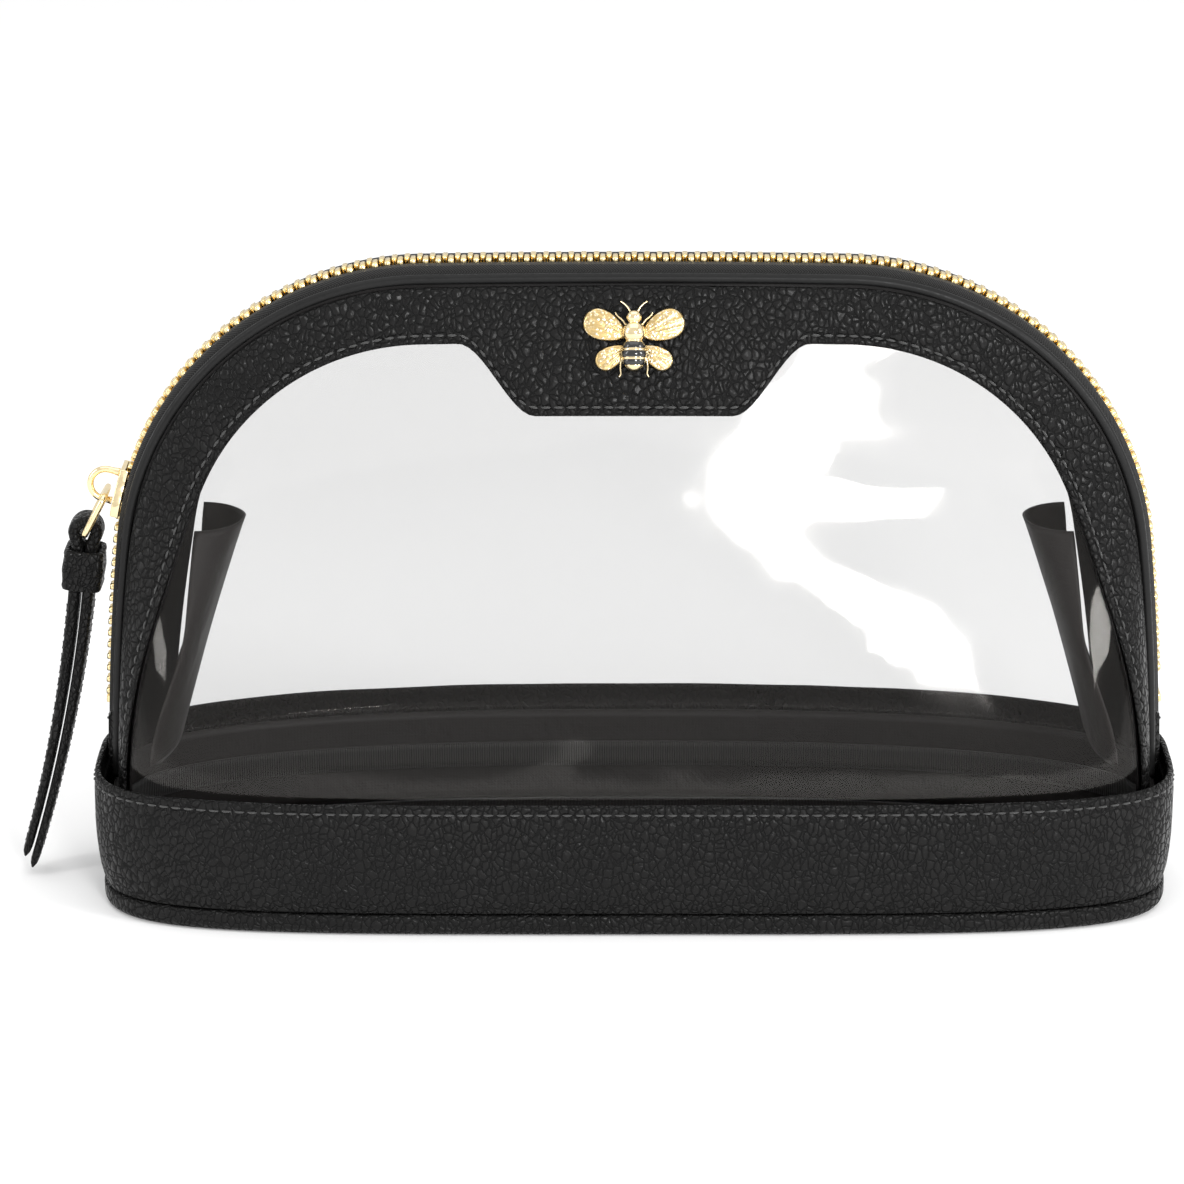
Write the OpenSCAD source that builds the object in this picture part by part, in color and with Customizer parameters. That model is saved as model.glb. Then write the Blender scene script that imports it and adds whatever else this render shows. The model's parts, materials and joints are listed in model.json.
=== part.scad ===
// Arched makeup bag with clear windows and a leather-framed zip opening.
// Millimetres. Origin at the centre of the underside, +Z up, +X right, the front faces -Y.

/* [Bag] */
// Width over the base band
bag_width = 245.4; // [200:1:300]
// Depth over the base band
bag_depth = 84; // [70:1:110]
// Height of the zip line at the middle of the arch
zip_height = 145.5; // [125:0.5:170]
// Radius of the zip line at each shoulder
shoulder_radius = 70.5; // [58:0.5:88]
// Inward lean of the side at the foot of the shoulder, degrees
side_lean = 6.5; // [5:0.5:10]
// Inward lean of the side at its bottom, degrees
foot_lean = 1; // [0:0.5:4]
// Slope left at the top end of the shoulder, degrees
crown_slope = 1; // [1:0.5:5]
// Squareness of the front of the base (2 is an ellipse)
front_squareness = 4.6; // [2.5:0.1:5]
// Squareness of the rear of the base
rear_squareness = 2.4; // [2:0.1:4]

/* [Base] */
// Height of the turned-up rim of the base panel
rim_height = 5; // [4:0.5:8]
// Thickness of the base panel
base_skin = 1.6; // [1:0.1:2.5]
// Thickness of the stiffener board
board_thick = 1.6; // [1:0.1:3]
// Height of the top edge of the base band
band_height = 31.6; // [24:0.2:38]
// Thickness of the base band
band_thick = 1.6; // [1:0.1:2.2]
// Thickness of the lining cloth
lining_thick = 0.5; // [0.3:0.1:0.8]
// Height of the ribbed binding above the underside
binding_lift = 12.5; // [8:0.5:16]
// Width of the ribbed binding
binding_width = 6; // [4:0.5:8]

/* [Windows and frames] */
// Thickness of the clear window
window_thick = 0.4; // [0.2:0.1:0.6]
// Thickness of the leather frame
frame_thick = 1; // [0.8:0.1:1.5]
// Width of the leather frame, along its surface
frame_width = 12.5; // [10:0.5:17]
// Thickness of the backing strip
backing_thick = 0.7; // [0.4:0.1:1]
// Depth of the tab below the frame
tab_drop = 15.5; // [10:0.5:22]
// Half width of the tab at its top
tab_top = 39; // [36:1:46]
// Half width of the tab at its bottom
tab_bottom = 22; // [15:1:26]
// Diameter of the piping
piping_diameter = 2.3; // [1.8:0.1:2.8]
// Air between two plies
ply_gap = 0.1; // [0.08:0.01:0.15]

/* [Zip] */
// Half depth from the middle of the zip to the panel edge
zip_half = 9.5; // [8.5:0.5:12]
// Pitch of the teeth in one row
tooth_pitch = 2.8; // [2.4:0.1:3.2]
// Height of a tooth
tooth_height = 2.5; // [2:0.1:3]
// Length of a tooth across the zip
tooth_length = 3.7; // [3.2:0.1:4]
// Reach of a tooth past the middle when meshed
tooth_mesh = 0.7; // [0.5:0.1:0.9]
// Thickness of the tape
tape_thick = 0.6; // [0.4:0.1:0.8]
// Height at which the tape ends
tape_foot = 41.3; // [38:0.5:50]
// Lean of the slider's place on the shoulder, degrees
slider_angle = 14.5; // [13:0.5:24]
// Parting of each row at the slider's mouth
row_parting = 1.8; // [1.75:0.05:1.9]
// Length of the slider
slider_length = 10.8; // [9.5:0.1:11.5]
// Thickness of the slider's plates
plate_thick = 1.1; // [0.9:0.1:1.4]

/* [Pull] */
// Diameter of the bail wire
bail_wire = 1.5; // [1.3:0.1:1.7]
// Radius of the bail, at the middle of its wire
bail_radius = 3.5; // [3.4:0.1:4]
// Height of the straight part of the bail
bail_leg = 2.4; // [2:0.1:3]
// Diameter of the link wire
link_wire = 1.6; // [1.4:0.1:1.8]
// Distance between the link's two bars
link_length = 10.2; // [10:0.1:12]
// Lean of the hanging link, degrees from straight down
link_lean = 28; // [26:1:40]
// Width of the leather pull
strap_width = 8; // [7:0.5:9]
// Thickness of one leg of the pull, at the loop
strap_thick = 2.8; // [2:0.1:2.8]
// Thickness of one leg at the tip
strap_tip = 1.9; // [1.5:0.1:2.4]
// Length of the pull below the link
strap_length = 82; // [50:1:84]
// Lean of the pull at its loop, degrees
strap_lean = 5; // [4:0.5:10]
// Curve of the pull along its length, degrees
strap_curve = 13; // [8:1:18]
// Height of the keeper
keeper_height = 9.4; // [7:0.2:11]
// Thickness of the keeper
keeper_thick = 1.6; // [1:0.1:2]
// Place of the keeper below the link's bar
keeper_drop = 8.6; // [8.4:0.2:12]

/* [Ornament] */
// Span of the ornament's wings
ornament_span = 22.8; // [18:0.2:26]
// Thickness of the ornament
ornament_thick = 1.4; // [1:0.1:2]

/* [Hidden] */
eps = 0.01;

// ---- the zip line: side, shoulder and crown arcs that run into each other ----
panel_foot = band_height - 4.8;
band_clear = 0.8;
foot_half = bag_width / 2 - band_thick - band_clear - tape_thick;
crown_angle = 90 - crown_slope;
side_slope = tan((side_lean + foot_lean) / 2);
crown_rise = tan(crown_slope / 2);
shoulder_z = (zip_height - shoulder_radius * sin(crown_angle)
    - crown_rise * (foot_half - (shoulder_radius * sin(side_lean) - panel_foot) * side_slope
    + shoulder_radius * (cos(crown_angle) - cos(side_lean)))) / (1 - crown_rise * side_slope);
side_top = shoulder_z + shoulder_radius * sin(side_lean);
side_rise = side_top - panel_foot;
shoulder_x = foot_half - side_rise * side_slope - shoulder_radius * cos(side_lean);
side_radius = side_rise / (sin(side_lean) - sin(foot_lean));
crown_radius = (shoulder_x + shoulder_radius * cos(crown_angle)) / cos(crown_angle);
side_x = shoulder_x + (shoulder_radius - side_radius) * cos(side_lean);
side_z = shoulder_z + (shoulder_radius - side_radius) * sin(side_lean);
crown_z = zip_height - crown_radius;
side_run = side_radius * (side_lean - foot_lean) * PI / 180;
shoulder_run = shoulder_radius * (crown_angle - side_lean) * PI / 180;
crown_run = crown_radius * crown_slope * PI / 180;
half_run = side_run + shoulder_run + crown_run;
full_run = 2 * half_run;

// [lean, centre x, centre z, radius] at a run measured from the left foot, left half
function arc_at(run) =
    run < side_run
        ? [foot_lean + run / side_radius * 180 / PI, -side_x, side_z, side_radius]
    : run < side_run + shoulder_run
        ? [side_lean + (run - side_run) / shoulder_radius * 180 / PI, -shoulder_x,
            shoulder_z, shoulder_radius]
    : [crown_angle + (run - side_run - shoulder_run) / crown_radius * 180 / PI, 0,
        crown_z, crown_radius];
function side_of(run) = run > half_run ? 1 : -1;
function left_run(run) = run > half_run ? full_run - run : run;
function lean_at(run) = arc_at(left_run(run))[0];
// point [x, z] of the zip line, moved inwards by inset
function arch(run, inset = 0) =
    let(a = arc_at(left_run(run)), r = a[3] - inset)
    [-side_of(run) * (a[1] - r * cos(a[0])), a[2] + r * sin(a[0])];
// half width of the inset zip line at a height
function half_width(z, inset) =
    z < side_z + (side_radius - inset) * sin(side_lean)
        ? sqrt(pow(side_radius - inset, 2) - pow(z - side_z, 2)) + side_x
    : z < shoulder_z + (shoulder_radius - inset) * sin(crown_angle)
        ? sqrt(max(0, pow(shoulder_radius - inset, 2) - pow(z - shoulder_z, 2))) + shoulder_x
    : sqrt(max(0, pow(crown_radius - inset, 2) - pow(z - crown_z, 2)));

// ---- the panel surface: each level is a rounded section, flatter towards the top ----
edge_inset = piping_diameter + 1.4;
panel_half = bag_depth / 2 - band_thick - band_clear - frame_thick - ply_gap;
edge_top = zip_height - edge_inset;
profile_power = 1.2;
upper_power = 1.22;
square_end = 100;
square_start = 30;
function smooth(u) = let(t = min(1, max(0, u))) t * t * (3 - 2 * t);
function mix(a, b, t) = a + (b - a) * t;
function centre_depth(z) =
    let(w = min(1, max(0, (z - panel_foot) / (edge_top - panel_foot))))
    zip_half + (panel_half - zip_half) * pow(1 - pow(w, profile_power), 1 / profile_power);
// the panels and the base take their squareness from here; rear pieces set their own
$squareness = front_squareness;
// the foot of a panel follows the base outline, and higher up it swells from its edge
function panel_depth(x, z) =
    let(t = smooth((z - square_start) / (square_end - square_start)),
        u = min(1, abs(x) / max(eps, half_width(z, edge_inset))),
        p = mix($squareness, upper_power, t), c = centre_depth(z), share = 1 - pow(u, p),
        foot = pow(pow(zip_half, p) + (pow(c, p) - pow(zip_half, p)) * share, 1 / p))
    mix(foot, zip_half + (c - zip_half) * pow(share, 1 / p), t);
// outward direction of the front panel, its slope limited near the edge
steepest = 2.4;
slope_step = 0.5;
function limited(g) = let(n = norm(g)) n > steepest ? g * steepest / n : g;
function outward(x, z) =
    let(px = x * 0.985, pz = mix(panel_foot, z, 0.985),
        g = limited([
            (panel_depth(px + slope_step, pz) - panel_depth(px - slope_step, pz)),
            (panel_depth(px, pz + slope_step) - panel_depth(px, pz - slope_step))]
            / (2 * slope_step)),
        n = [-g[0], -1, -g[1]])
    n / norm(n);
function front_point(p, offset) =
    [p[0], -panel_depth(p[0], p[1]), p[1]] + offset * outward(p[0], p[1]);
// inset at which a strip of the wanted surface width ends
function surface_at(run, inset) =
    let(p = arch(run, edge_inset + inset)) [p[0], panel_depth(p[0], p[1]), p[1]];
reach_step = 0.5;
function reach(run, width, inset = 0, gone = 0) =
    let(l = norm(surface_at(run, inset + reach_step) - surface_at(run, inset)))
    gone + l >= width ? inset + reach_step * (width - gone) / l
        : reach(run, width, inset + reach_step, gone + l);
function tab_at(run) =
    tab_drop * smooth((tab_top - abs(arch(run)[0])) / (tab_top - tab_bottom));

side_steps = 6;
shoulder_steps = 14;
crown_steps = 10;
half_runs = concat(
    [for (i = [0:side_steps - 1]) side_run * i / side_steps],
    [for (i = [0:shoulder_steps - 1]) side_run + shoulder_run * i / shoulder_steps],
    [for (i = [0:crown_steps]) side_run + shoulder_run + crown_run * i / crown_steps]);
column_runs = concat(half_runs,
    [for (i = [len(half_runs) - 2:-1:0]) full_run - half_runs[i]]);
frame_steps = 5;
inner_steps = 9;
pole_share = 0.03;

// [x, z] points down one column: over the frame, then on towards the foot's middle
function strip_points(i, inset, steps) =
    [for (j = [0:steps]) arch(column_runs[i], edge_inset + inset * pow(j / steps, 1.6))];
function window_points(i) =
    let(strip = strip_points(i, reach(column_runs[i], frame_width), frame_steps),
        last = strip[frame_steps])
    concat(strip, [for (j = [1:inner_steps])
        mix([0, panel_foot], last, 1 - (1 - pole_share) * j / inner_steps)]);
// one closed ring of a ply: its outer face down, its inner face back up
function ply_ring(points, outer, inner) = concat(
    [for (p = points) front_point(p, outer)],
    [for (k = [len(points) - 1:-1:0]) front_point(points[k], inner)]);

// solid through a row of rings; each ring is a front row and a back row of equal length
module skin(rings, closed = false) {
    m = len(rings[0]);
    n = len(rings);
    sides = [for (i = [0:(closed ? n - 1 : n - 2)], j = [0:m - 1])
        let(k = (i + 1) % n, a = i * m + j, b = i * m + (j + 1) % m,
            c = k * m + (j + 1) % m, d = k * m + j)
        each (j < m / 2 ? [[a, b, c], [a, c, d]] : [[a, b, d], [b, c, d]])];
    caps = closed ? [] : [for (j = [0:m / 2 - 2])
        let(k = m - 1 - j, e = (n - 1) * m)
        each [[j, k, k - 1], [j, k - 1, j + 1],
            [e + j, e + k - 1, e + k], [e + j, e + j + 1, e + k - 1]]];
    polyhedron([for (r = rings) each r], concat(sides, caps), convexity = 6);
}

// place a child on the zip line: its X runs up the arch, its Z points outwards
module on_arch(run) {
    p = arch(run);
    translate([p[0], 0, p[1]]) rotate([0, side_of(run) * (90 - lean_at(run)), 0]) children();
}

// ---- base ----
base_points = 76;
// point of the base outline, squarer at the front than at the rear
function base_point(i, inset) =
    let(a = 360 * i / base_points, q = 2 / (sin(a) < 0 ? front_squareness : rear_squareness))
    [(bag_width / 2 - inset) * sign(cos(a)) * pow(abs(cos(a)), q),
        (bag_depth / 2 - inset) * sign(sin(a)) * pow(abs(sin(a)), q)];
module base_slab(inset, low, high) {
    translate([0, 0, low]) linear_extrude(high - low)
        polygon([for (i = [0:base_points - 1]) base_point(i, inset)]);
}
foot_step = 1.6;
rim_inset = 1.4;
seam_gap = 0.15;
board_low = base_skin + seam_gap;
floor_low = board_low + board_thick + seam_gap;

module base_panel() {
    color("#1c1c1b") difference() {
        union() {
            base_slab(rim_inset + foot_step, 0, base_skin);
            base_slab(rim_inset, base_skin - 0.6, rim_height);
        }
        base_slab(rim_inset + base_skin, base_skin, rim_height + 1);
    }
}
module base_board() {
    color("#6b6459") base_slab(rim_inset + base_skin + band_clear, board_low, board_low + board_thick);
}
module floor_lining() {
    color("#101010")
        base_slab(rim_inset + base_skin + band_clear, floor_low, floor_low + lining_thick);
}
// wall round the base: rows of [height, outer inset, inner inset]
module base_wall(rows) {
    n = len(rows) - 1;
    skin([for (i = [0:base_points - 1]) concat(
        [for (k = [n:-1:0]) wall_point(i, rows[k][0], rows[k][1])],
        [for (k = [0:n]) wall_point(i, rows[k][0], rows[k][2])])], closed = true);
}
function wall_point(i, z, inset) = let(p = base_point(i, inset)) [p[0], p[1], z];
band_low = rim_height + seam_gap;
bulge_z = mix(band_low, band_height, 0.62);
band_rows = [
    [band_low, rim_inset + 0.4, rim_inset + 0.4 + band_thick],
    [mix(band_low, bulge_z, 0.45), 0.6, 0.6 + band_thick],
    [bulge_z, 0, band_thick],
    [band_height - 2, 0, band_thick],
    [band_height, 0.7, band_thick]];
module base_band() {
    color("#1c1c1b") base_wall(band_rows);
}
lining_top = panel_foot - 0.6;
lining_foot = floor_low + lining_thick + seam_gap;
lining_inset = rim_inset + 0.4 + band_thick + band_clear;
module band_lining() {
    color("#101010") base_wall([
        [lining_foot, lining_inset, lining_inset + lining_thick],
        [lining_top, lining_inset, lining_inset + lining_thick]]);
}
module seam_binding() {
    inset = lining_inset + lining_thick + ply_gap;
    color("#0c0c0c") base_wall([
        [binding_lift, inset, inset + lining_thick],
        [binding_lift + binding_width, inset, inset + lining_thick]]);
}

// ---- windows, frames and piping; each rear piece mirrors its front piece ----
module window_ply() {
    skin([for (i = [0:len(column_runs) - 1]) ply_ring(window_points(i), 0, -window_thick)]);
}
module frame_ply(outer, inner, tab) {
    skin([for (i = [0:len(column_runs) - 1])
        let(r = column_runs[i], inset = reach(r, frame_width) + (tab ? tab_at(r) : 0))
        ply_ring(strip_points(i, inset, frame_steps), outer, inner)]);
}
module front_window() {
    color([0.93, 0.94, 0.94, 0.35]) window_ply();
}
module rear_window() {
    $squareness = rear_squareness;
    color([0.93, 0.94, 0.94, 0.35]) mirror([0, 1, 0]) window_ply();
}
module front_frame() {
    color("#222221") frame_ply(ply_gap + frame_thick, ply_gap, true);
}
module rear_frame() {
    $squareness = rear_squareness;
    color("#222221") mirror([0, 1, 0]) frame_ply(ply_gap + frame_thick, ply_gap, false);
}
backing_out = -window_thick - ply_gap;
module front_backing() {
    color("#151515") frame_ply(backing_out, backing_out - backing_thick, true);
}
module rear_backing() {
    $squareness = rear_squareness;
    color("#151515") mirror([0, 1, 0]) frame_ply(backing_out, backing_out - backing_thick, false);
}
piping_sides = 8;
piping_inset = piping_diameter - 0.3;
piping_y = zip_half - 0.4;
module piping(side) {
    skin([for (r = column_runs) [for (k = [0:piping_sides - 1])
        let(a = 360 * (k + 0.5) / piping_sides,
            p = arch(r, piping_inset + piping_diameter / 2 * cos(a)))
        [p[0], side * piping_y + piping_diameter / 2 * sin(a), p[1]]]]);
}
module front_piping() {
    color("#161616") piping(-1);
}
module rear_piping() {
    color("#161616") piping(1);
}

// ---- zip ----
slider_run = side_run + shoulder_radius * (slider_angle - side_lean) * PI / 180;
tape_start = (tape_foot - panel_foot) / cos((side_lean + foot_lean) / 2);
mouth_rise = 3.5;
mouth_lead = 1.5;
mouth_step = 0.5;
row_rest = 0.9;
row_edge = tooth_length - tooth_mesh;
tape_gap = 0.3;
// how far each row stands off the middle, from the run below the slider
function parting(run) =
    let(below = slider_run - run, mouth = row_parting * smooth((below + mouth_lead) / mouth_rise),
        far = smooth((below - slider_length) / (slider_run - tape_start - slider_length)))
    run > half_run ? 0 : mix(mouth, row_rest, far * (mouth > 0 ? 1 : 0));
tape_flat = 5.9;
tape_edge = piping_y - piping_diameter / 2 - 0.1;
tape_drop = piping_inset - 0.2;
mouth_start = slider_run - mouth_rise + mouth_lead - 0.5;
tape_runs = concat([for (k = [0:9]) mix(tape_start, mouth_start, k / 9)],
    [for (k = [1:10]) mouth_start + k * mouth_step], [slider_run + 6],
    [for (r = column_runs) if (r > slider_run + 9 && r < full_run - tape_start - 3) r],
    [full_run - tape_start]);
module zip_tape(side) {
    t = tape_thick / 2;
    skin([for (r = tape_runs)
        let(rows = [[0, row_edge + tape_gap + parting(r)], [0, tape_flat], [tape_drop, tape_edge]])
        concat([for (p = rows) tape_point(r, p[0] - t, side * p[1])],
            [for (k = [2:-1:0]) tape_point(r, rows[k][0] + t, side * rows[k][1])])]);
}
function tape_point(run, inset, y) = let(p = arch(run, inset)) [p[0], y, p[1]];
module zip_tape_front() {
    color("#191919") zip_tape(-1);
}
module zip_tape_rear() {
    color("#191919") zip_tape(1);
}
tooth_thick = tooth_pitch / 2 - 0.15;
teeth_start = tape_start + 4;
tooth_count = floor((full_run - 2 * teeth_start) / tooth_pitch);
module tooth_row(side, shift) {
    for (k = [0:tooth_count - 1]) {
        run = teeth_start + (k + shift) * tooth_pitch;
        on_arch(run)
            translate([0, side * (tooth_length / 2 - tooth_mesh + parting(run)), 0])
                cube([tooth_thick, tooth_length, tooth_height], center = true);
    }
}
module zip_teeth_front() {
    color("#c9a764") tooth_row(-1, 0);
}
module zip_teeth_rear() {
    color("#c9a764") tooth_row(1, 0.5);
}
stop_length = 2;
stop_width = 2.4;
module zip_top_stops() {
    run = tape_start + stop_length;
    color("#c9a764") for (side = [-1, 1]) on_arch(run)
        translate([0, side * (stop_width / 2 + parting(run)), 0])
            cube([stop_length, stop_width, tooth_height], center = true);
}
module zip_bottom_stop() {
    color("#c9a764") on_arch(full_run - tape_start - stop_length)
        cube([stop_length, 2 * row_edge, tooth_height], center = true);
}
// leather tab that covers an end of the zip
tab_rings = 4;
module side_tab(side) {
    low = 0.5;
    high = tape_start - 0.3;
    t = tape_thick;
    rows = [[tape_drop, -tape_edge], [0, -tape_flat], [0, tape_flat], [tape_drop, tape_edge]];
    skin([for (k = [0:tab_rings])
        let(r = mix(low, high, k / tab_rings), run = side < 0 ? r : full_run - r)
        concat([for (p = rows) tape_point(run, p[0] - t, -side * p[1])],
            [for (k = [3:-1:0]) tape_point(run, rows[k][0] + t, -side * rows[k][1])])]);
}
module side_tab_left() {
    color("#1c1c1b") side_tab(-1);
}
module side_tab_right() {
    color("#1c1c1b") side_tab(1);
}

// ---- slider: its plates follow the shoulder's circle ----
channel_half = tooth_height / 2 + 0.2;
plate_top = channel_half + plate_thick;
slot_half = tape_thick / 2 + 0.25;
flange = 0.8;
tail_half = row_edge + 0.35;
mouth_half = row_edge + row_parting + 0.3;
module from_shoulder() {
    translate([-shoulder_x, 0, shoulder_z]) rotate([0, slider_angle - 90, 0]) children();
}
module shell(inner, outer) {
    rotate([90, 0, 0]) difference() {
        cylinder(h = 16, r = shoulder_radius + outer, center = true, $fn = 240);
        cylinder(h = 18, r = shoulder_radius + inner, center = true, $fn = 240);
    }
}
// plan of the slider, grown by margin; +X is up the arch, the mouth is at -X
module slider_plan(margin, over) {
    half = slider_length / 2 + over;
    waist = 1.5;
    translate([0, 0, shoulder_radius - 8]) linear_extrude(16) polygon([
        [half, -tail_half - margin], [waist, -tail_half - margin - 0.2],
        [-waist, -mouth_half - margin + 0.1], [-half, -mouth_half - margin],
        [-half, mouth_half + margin], [-waist, mouth_half + margin - 0.1],
        [waist, tail_half + margin + 0.2], [half, tail_half + margin]]);
}
diamond_half = 0.85;
module slider_body() {
    color("#cdb06f") from_shoulder() {
        difference() {
            intersection() {
                slider_plan(flange, 0);
                shell(-plate_top, plate_top);
            }
            intersection() {
                slider_plan(0, 1);
                shell(-channel_half, channel_half);
            }
            shell(-slot_half, slot_half);
        }
        intersection() {
            translate([-slider_length / 2, 0, shoulder_radius - 4]) linear_extrude(8)
                polygon([[0.2, 0], [1, -diamond_half], [2.4, -diamond_half],
                    [3.4, 0], [2.4, diamond_half], [1, diamond_half]]);
            shell(-channel_half - 0.2, channel_half + 0.2);
        }
    }
}
bail_base = shoulder_radius + plate_top + 0.05;
module slider_bail() {
    color("#cdb06f") from_shoulder() {
        for (x = [-bail_radius, bail_radius])
            translate([x, 0, bail_base]) cylinder(h = bail_leg, d = bail_wire, $fn = 32);
        translate([0, 0, bail_base + bail_leg]) rotate([90, 0, 0])
            rotate_extrude(angle = 180, $fn = 64) translate([bail_radius, 0])
                circle(d = bail_wire, $fn = 32);
    }
}

// ---- link and leather pull ----
bar_gap = 0.2;
bar_along = -(bail_radius - bail_wire / 2 - link_wire / 2 - bar_gap);
bar_out = shoulder_radius + plate_top + 2;
bar_x = -shoulder_x + bar_along * sin(slider_angle) - bar_out * cos(slider_angle);
bar_z = shoulder_z + bar_along * cos(slider_angle) + bar_out * sin(slider_angle);
low_x = bar_x - link_length * sin(link_lean);
low_z = bar_z - link_length * cos(link_lean);
link_half = strap_width / 2 + 0.3 + link_wire / 2;
link_bend = 1.6;
module wire_bend() {
    rotate_extrude(angle = 90, $fn = 64) translate([link_bend, 0]) circle(d = link_wire, $fn = 32);
}
// quarter of the link: half of the upper bar, a bend and half of one side
module link_quarter() {
    straight = link_length / 2 - link_bend;
    translate([link_half - link_bend, straight, 0]) wire_bend();
    translate([link_half, 0, 0]) rotate([-90, 0, 0]) cylinder(h = straight, d = link_wire, $fn = 32);
    translate([0, link_length / 2, 0]) rotate([0, 90, 0])
        cylinder(h = link_half - link_bend, d = link_wire, $fn = 32);
}
module pull_link() {
    color("#d8bd80") translate([bar_x, 0, bar_z]) rotate([0, link_lean, 0])
        translate([0, 0, -link_length / 2]) rotate([90, 0, 90])
            for (x = [0, 1], y = [0, 1]) mirror([x, 0, 0]) mirror([0, y, 0]) link_quarter();
}
// centre line of the pull: an arc that starts at the link's lower bar
strap_radius = strap_length / (strap_curve * PI / 180);
function strap_angle(u) = strap_lean + strap_curve * u / strap_length;
function strap_point(u, off) =
    let(a = strap_angle(u))
    [low_x - strap_radius * (cos(strap_lean) - cos(a)) + off * cos(a),
        low_z - strap_radius * (sin(a) - sin(strap_lean)) - off * sin(a)];
loop_inner = link_wire / 2 + 0.35;
loop_outer = loop_inner + strap_thick;
leg_gap = 0.2;
merge = keeper_drop - keeper_height / 2 - 1;
function inner_off(u) = mix(loop_inner, leg_gap, smooth(u / merge));
function outer_off(u) =
    inner_off(u) + mix(strap_thick, strap_tip, smooth(u / strap_length));
leg_steps = 16;
tip_step = 2.2;
function leg_side(side, outer, u_end) = [for (k = [0:leg_steps])
    let(u = u_end * pow(k / leg_steps, 1.5))
    strap_point(u, side * (outer ? outer_off(u) : inner_off(u)))];
function loop_arc(radius, steps) = [for (k = [1:steps - 1])
    let(a = 180 * k / steps + strap_lean)
    [low_x + radius * cos(a - 2 * strap_lean), low_z + radius * sin(a - 2 * strap_lean)]];
function turned(list) = [for (k = [len(list) - 1:-1:0]) list[k]];
module pull_strap() {
    left_end = strap_length;
    right_end = strap_length - tip_step;
    color("#1d1d1c") translate([0, strap_width / 2, 0]) rotate([90, 0, 0])
        linear_extrude(strap_width) polygon(concat(
            turned(leg_side(1, true, left_end)), loop_arc(loop_outer, 16),
            leg_side(-1, true, right_end), turned(leg_side(-1, false, right_end)),
            turned(loop_arc(loop_inner, 12)), leg_side(1, false, left_end)));
}
keeper_gap = 0.15;
keeper_corner = 1.2;
module rounded_slot(x, y, corner, height) {
    translate([0, 0, -height / 2]) linear_extrude(height) {
        square([x - 2 * corner, y], center = true);
        square([x, y - 2 * corner], center = true);
        for (i = [-1, 1], j = [-1, 1])
            translate([i * (x / 2 - corner), j * (y / 2 - corner)]) circle(r = corner, $fn = 32);
    }
}
module pull_keeper() {
    hole_x = 2 * outer_off(keeper_drop - keeper_height / 2) + 2 * keeper_gap;
    hole_y = strap_width + 2 * keeper_gap;
    p = strap_point(keeper_drop, 0);
    color("#1d1d1c") translate([p[0], 0, p[1]]) rotate([0, strap_angle(keeper_drop), 0])
        difference() {
            rounded_slot(hole_x + 2 * keeper_thick, hole_y + 2 * keeper_thick,
                keeper_corner, keeper_height);
            cube([hole_x, hole_y, keeper_height + 1], center = true);
        }
}

// ---- inner gussets: one cloth from the front panel round a fold to the rear panel ----
gusset_thick = 0.5;
gusset_top = 86;
gusset_foot = panel_foot + 8;
gusset_steps = 8;
gusset_levels = 8;
fold_in_top = 24;
fold_in_foot = 12.5;
seat_in_top = 13;
seat_in_foot = 6;
seat_clear = 0.9;
seat_depth = window_thick + 2 * ply_gap + backing_thick + seat_clear;
// where the cloth's outer edge lies, just inside the backing
function gusset_seat(x, z) =
    let(n = outward(x, z), level = 1 - n[2] * n[2])
    [x - seat_depth * n[0] / level, panel_depth(x, z) + seat_depth * n[1] / level];
// [x, y] of the cloth at a height; t goes from 0 at the panel to 1 at the fold
function gusset_point(z, t, off) =
    let(w = (z - gusset_foot) / (gusset_top - gusset_foot), edge_x = half_width(z, edge_inset),
        seat = gusset_seat(edge_x - mix(seat_in_foot, seat_in_top, smooth(w * 1.6)), z),
        fold_x = edge_x - mix(fold_in_foot, fold_in_top, w) + off)
    [mix(seat[0], fold_x, pow(sin(90 * t), 0.8)), (seat[1] - off) * (1 - pow(t, 1.4))];
module gusset(side) {
    n = gusset_steps;
    skin([for (l = [0:gusset_levels])
        let(z = mix(gusset_foot, gusset_top, l / gusset_levels))
        concat([for (k = [0:n]) gusset_at(side, z, k / n, 0, -1)],
            [for (k = [n - 1:-1:0]) gusset_at(side, z, k / n, 0, 1)],
            [for (k = [0:n]) gusset_at(side, z, k / n, gusset_thick, 1)],
            [for (k = [n - 1:-1:0]) gusset_at(side, z, k / n, gusset_thick, -1)])]);
}
function gusset_at(side, z, t, off, half) =
    let($squareness = side * half < 0 ? front_squareness : rear_squareness,
        p = gusset_point(z, t, off))
    [side * p[0], side * half * p[1], z];
module gusset_left() {
    color("#121212") gusset(-1);
}
module gusset_right() {
    color("#121212") gusset(1);
}

// ---- ornament: a plain winged insect that lies on the frame and its tab ----
ornament_z = edge_top - 11.5;
ornament_tilt = atan((panel_depth(0, ornament_z - 6) - panel_depth(0, ornament_z + 6)) / 12);
ornament_seat = frame_thick + ply_gap + 0.7;
wing_long = ornament_span / 2;
module on_tab() {
    p = front_point([0, ornament_z], ornament_seat);
    translate(p) rotate([90 - ornament_tilt, 0, 0]) children();
}
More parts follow.
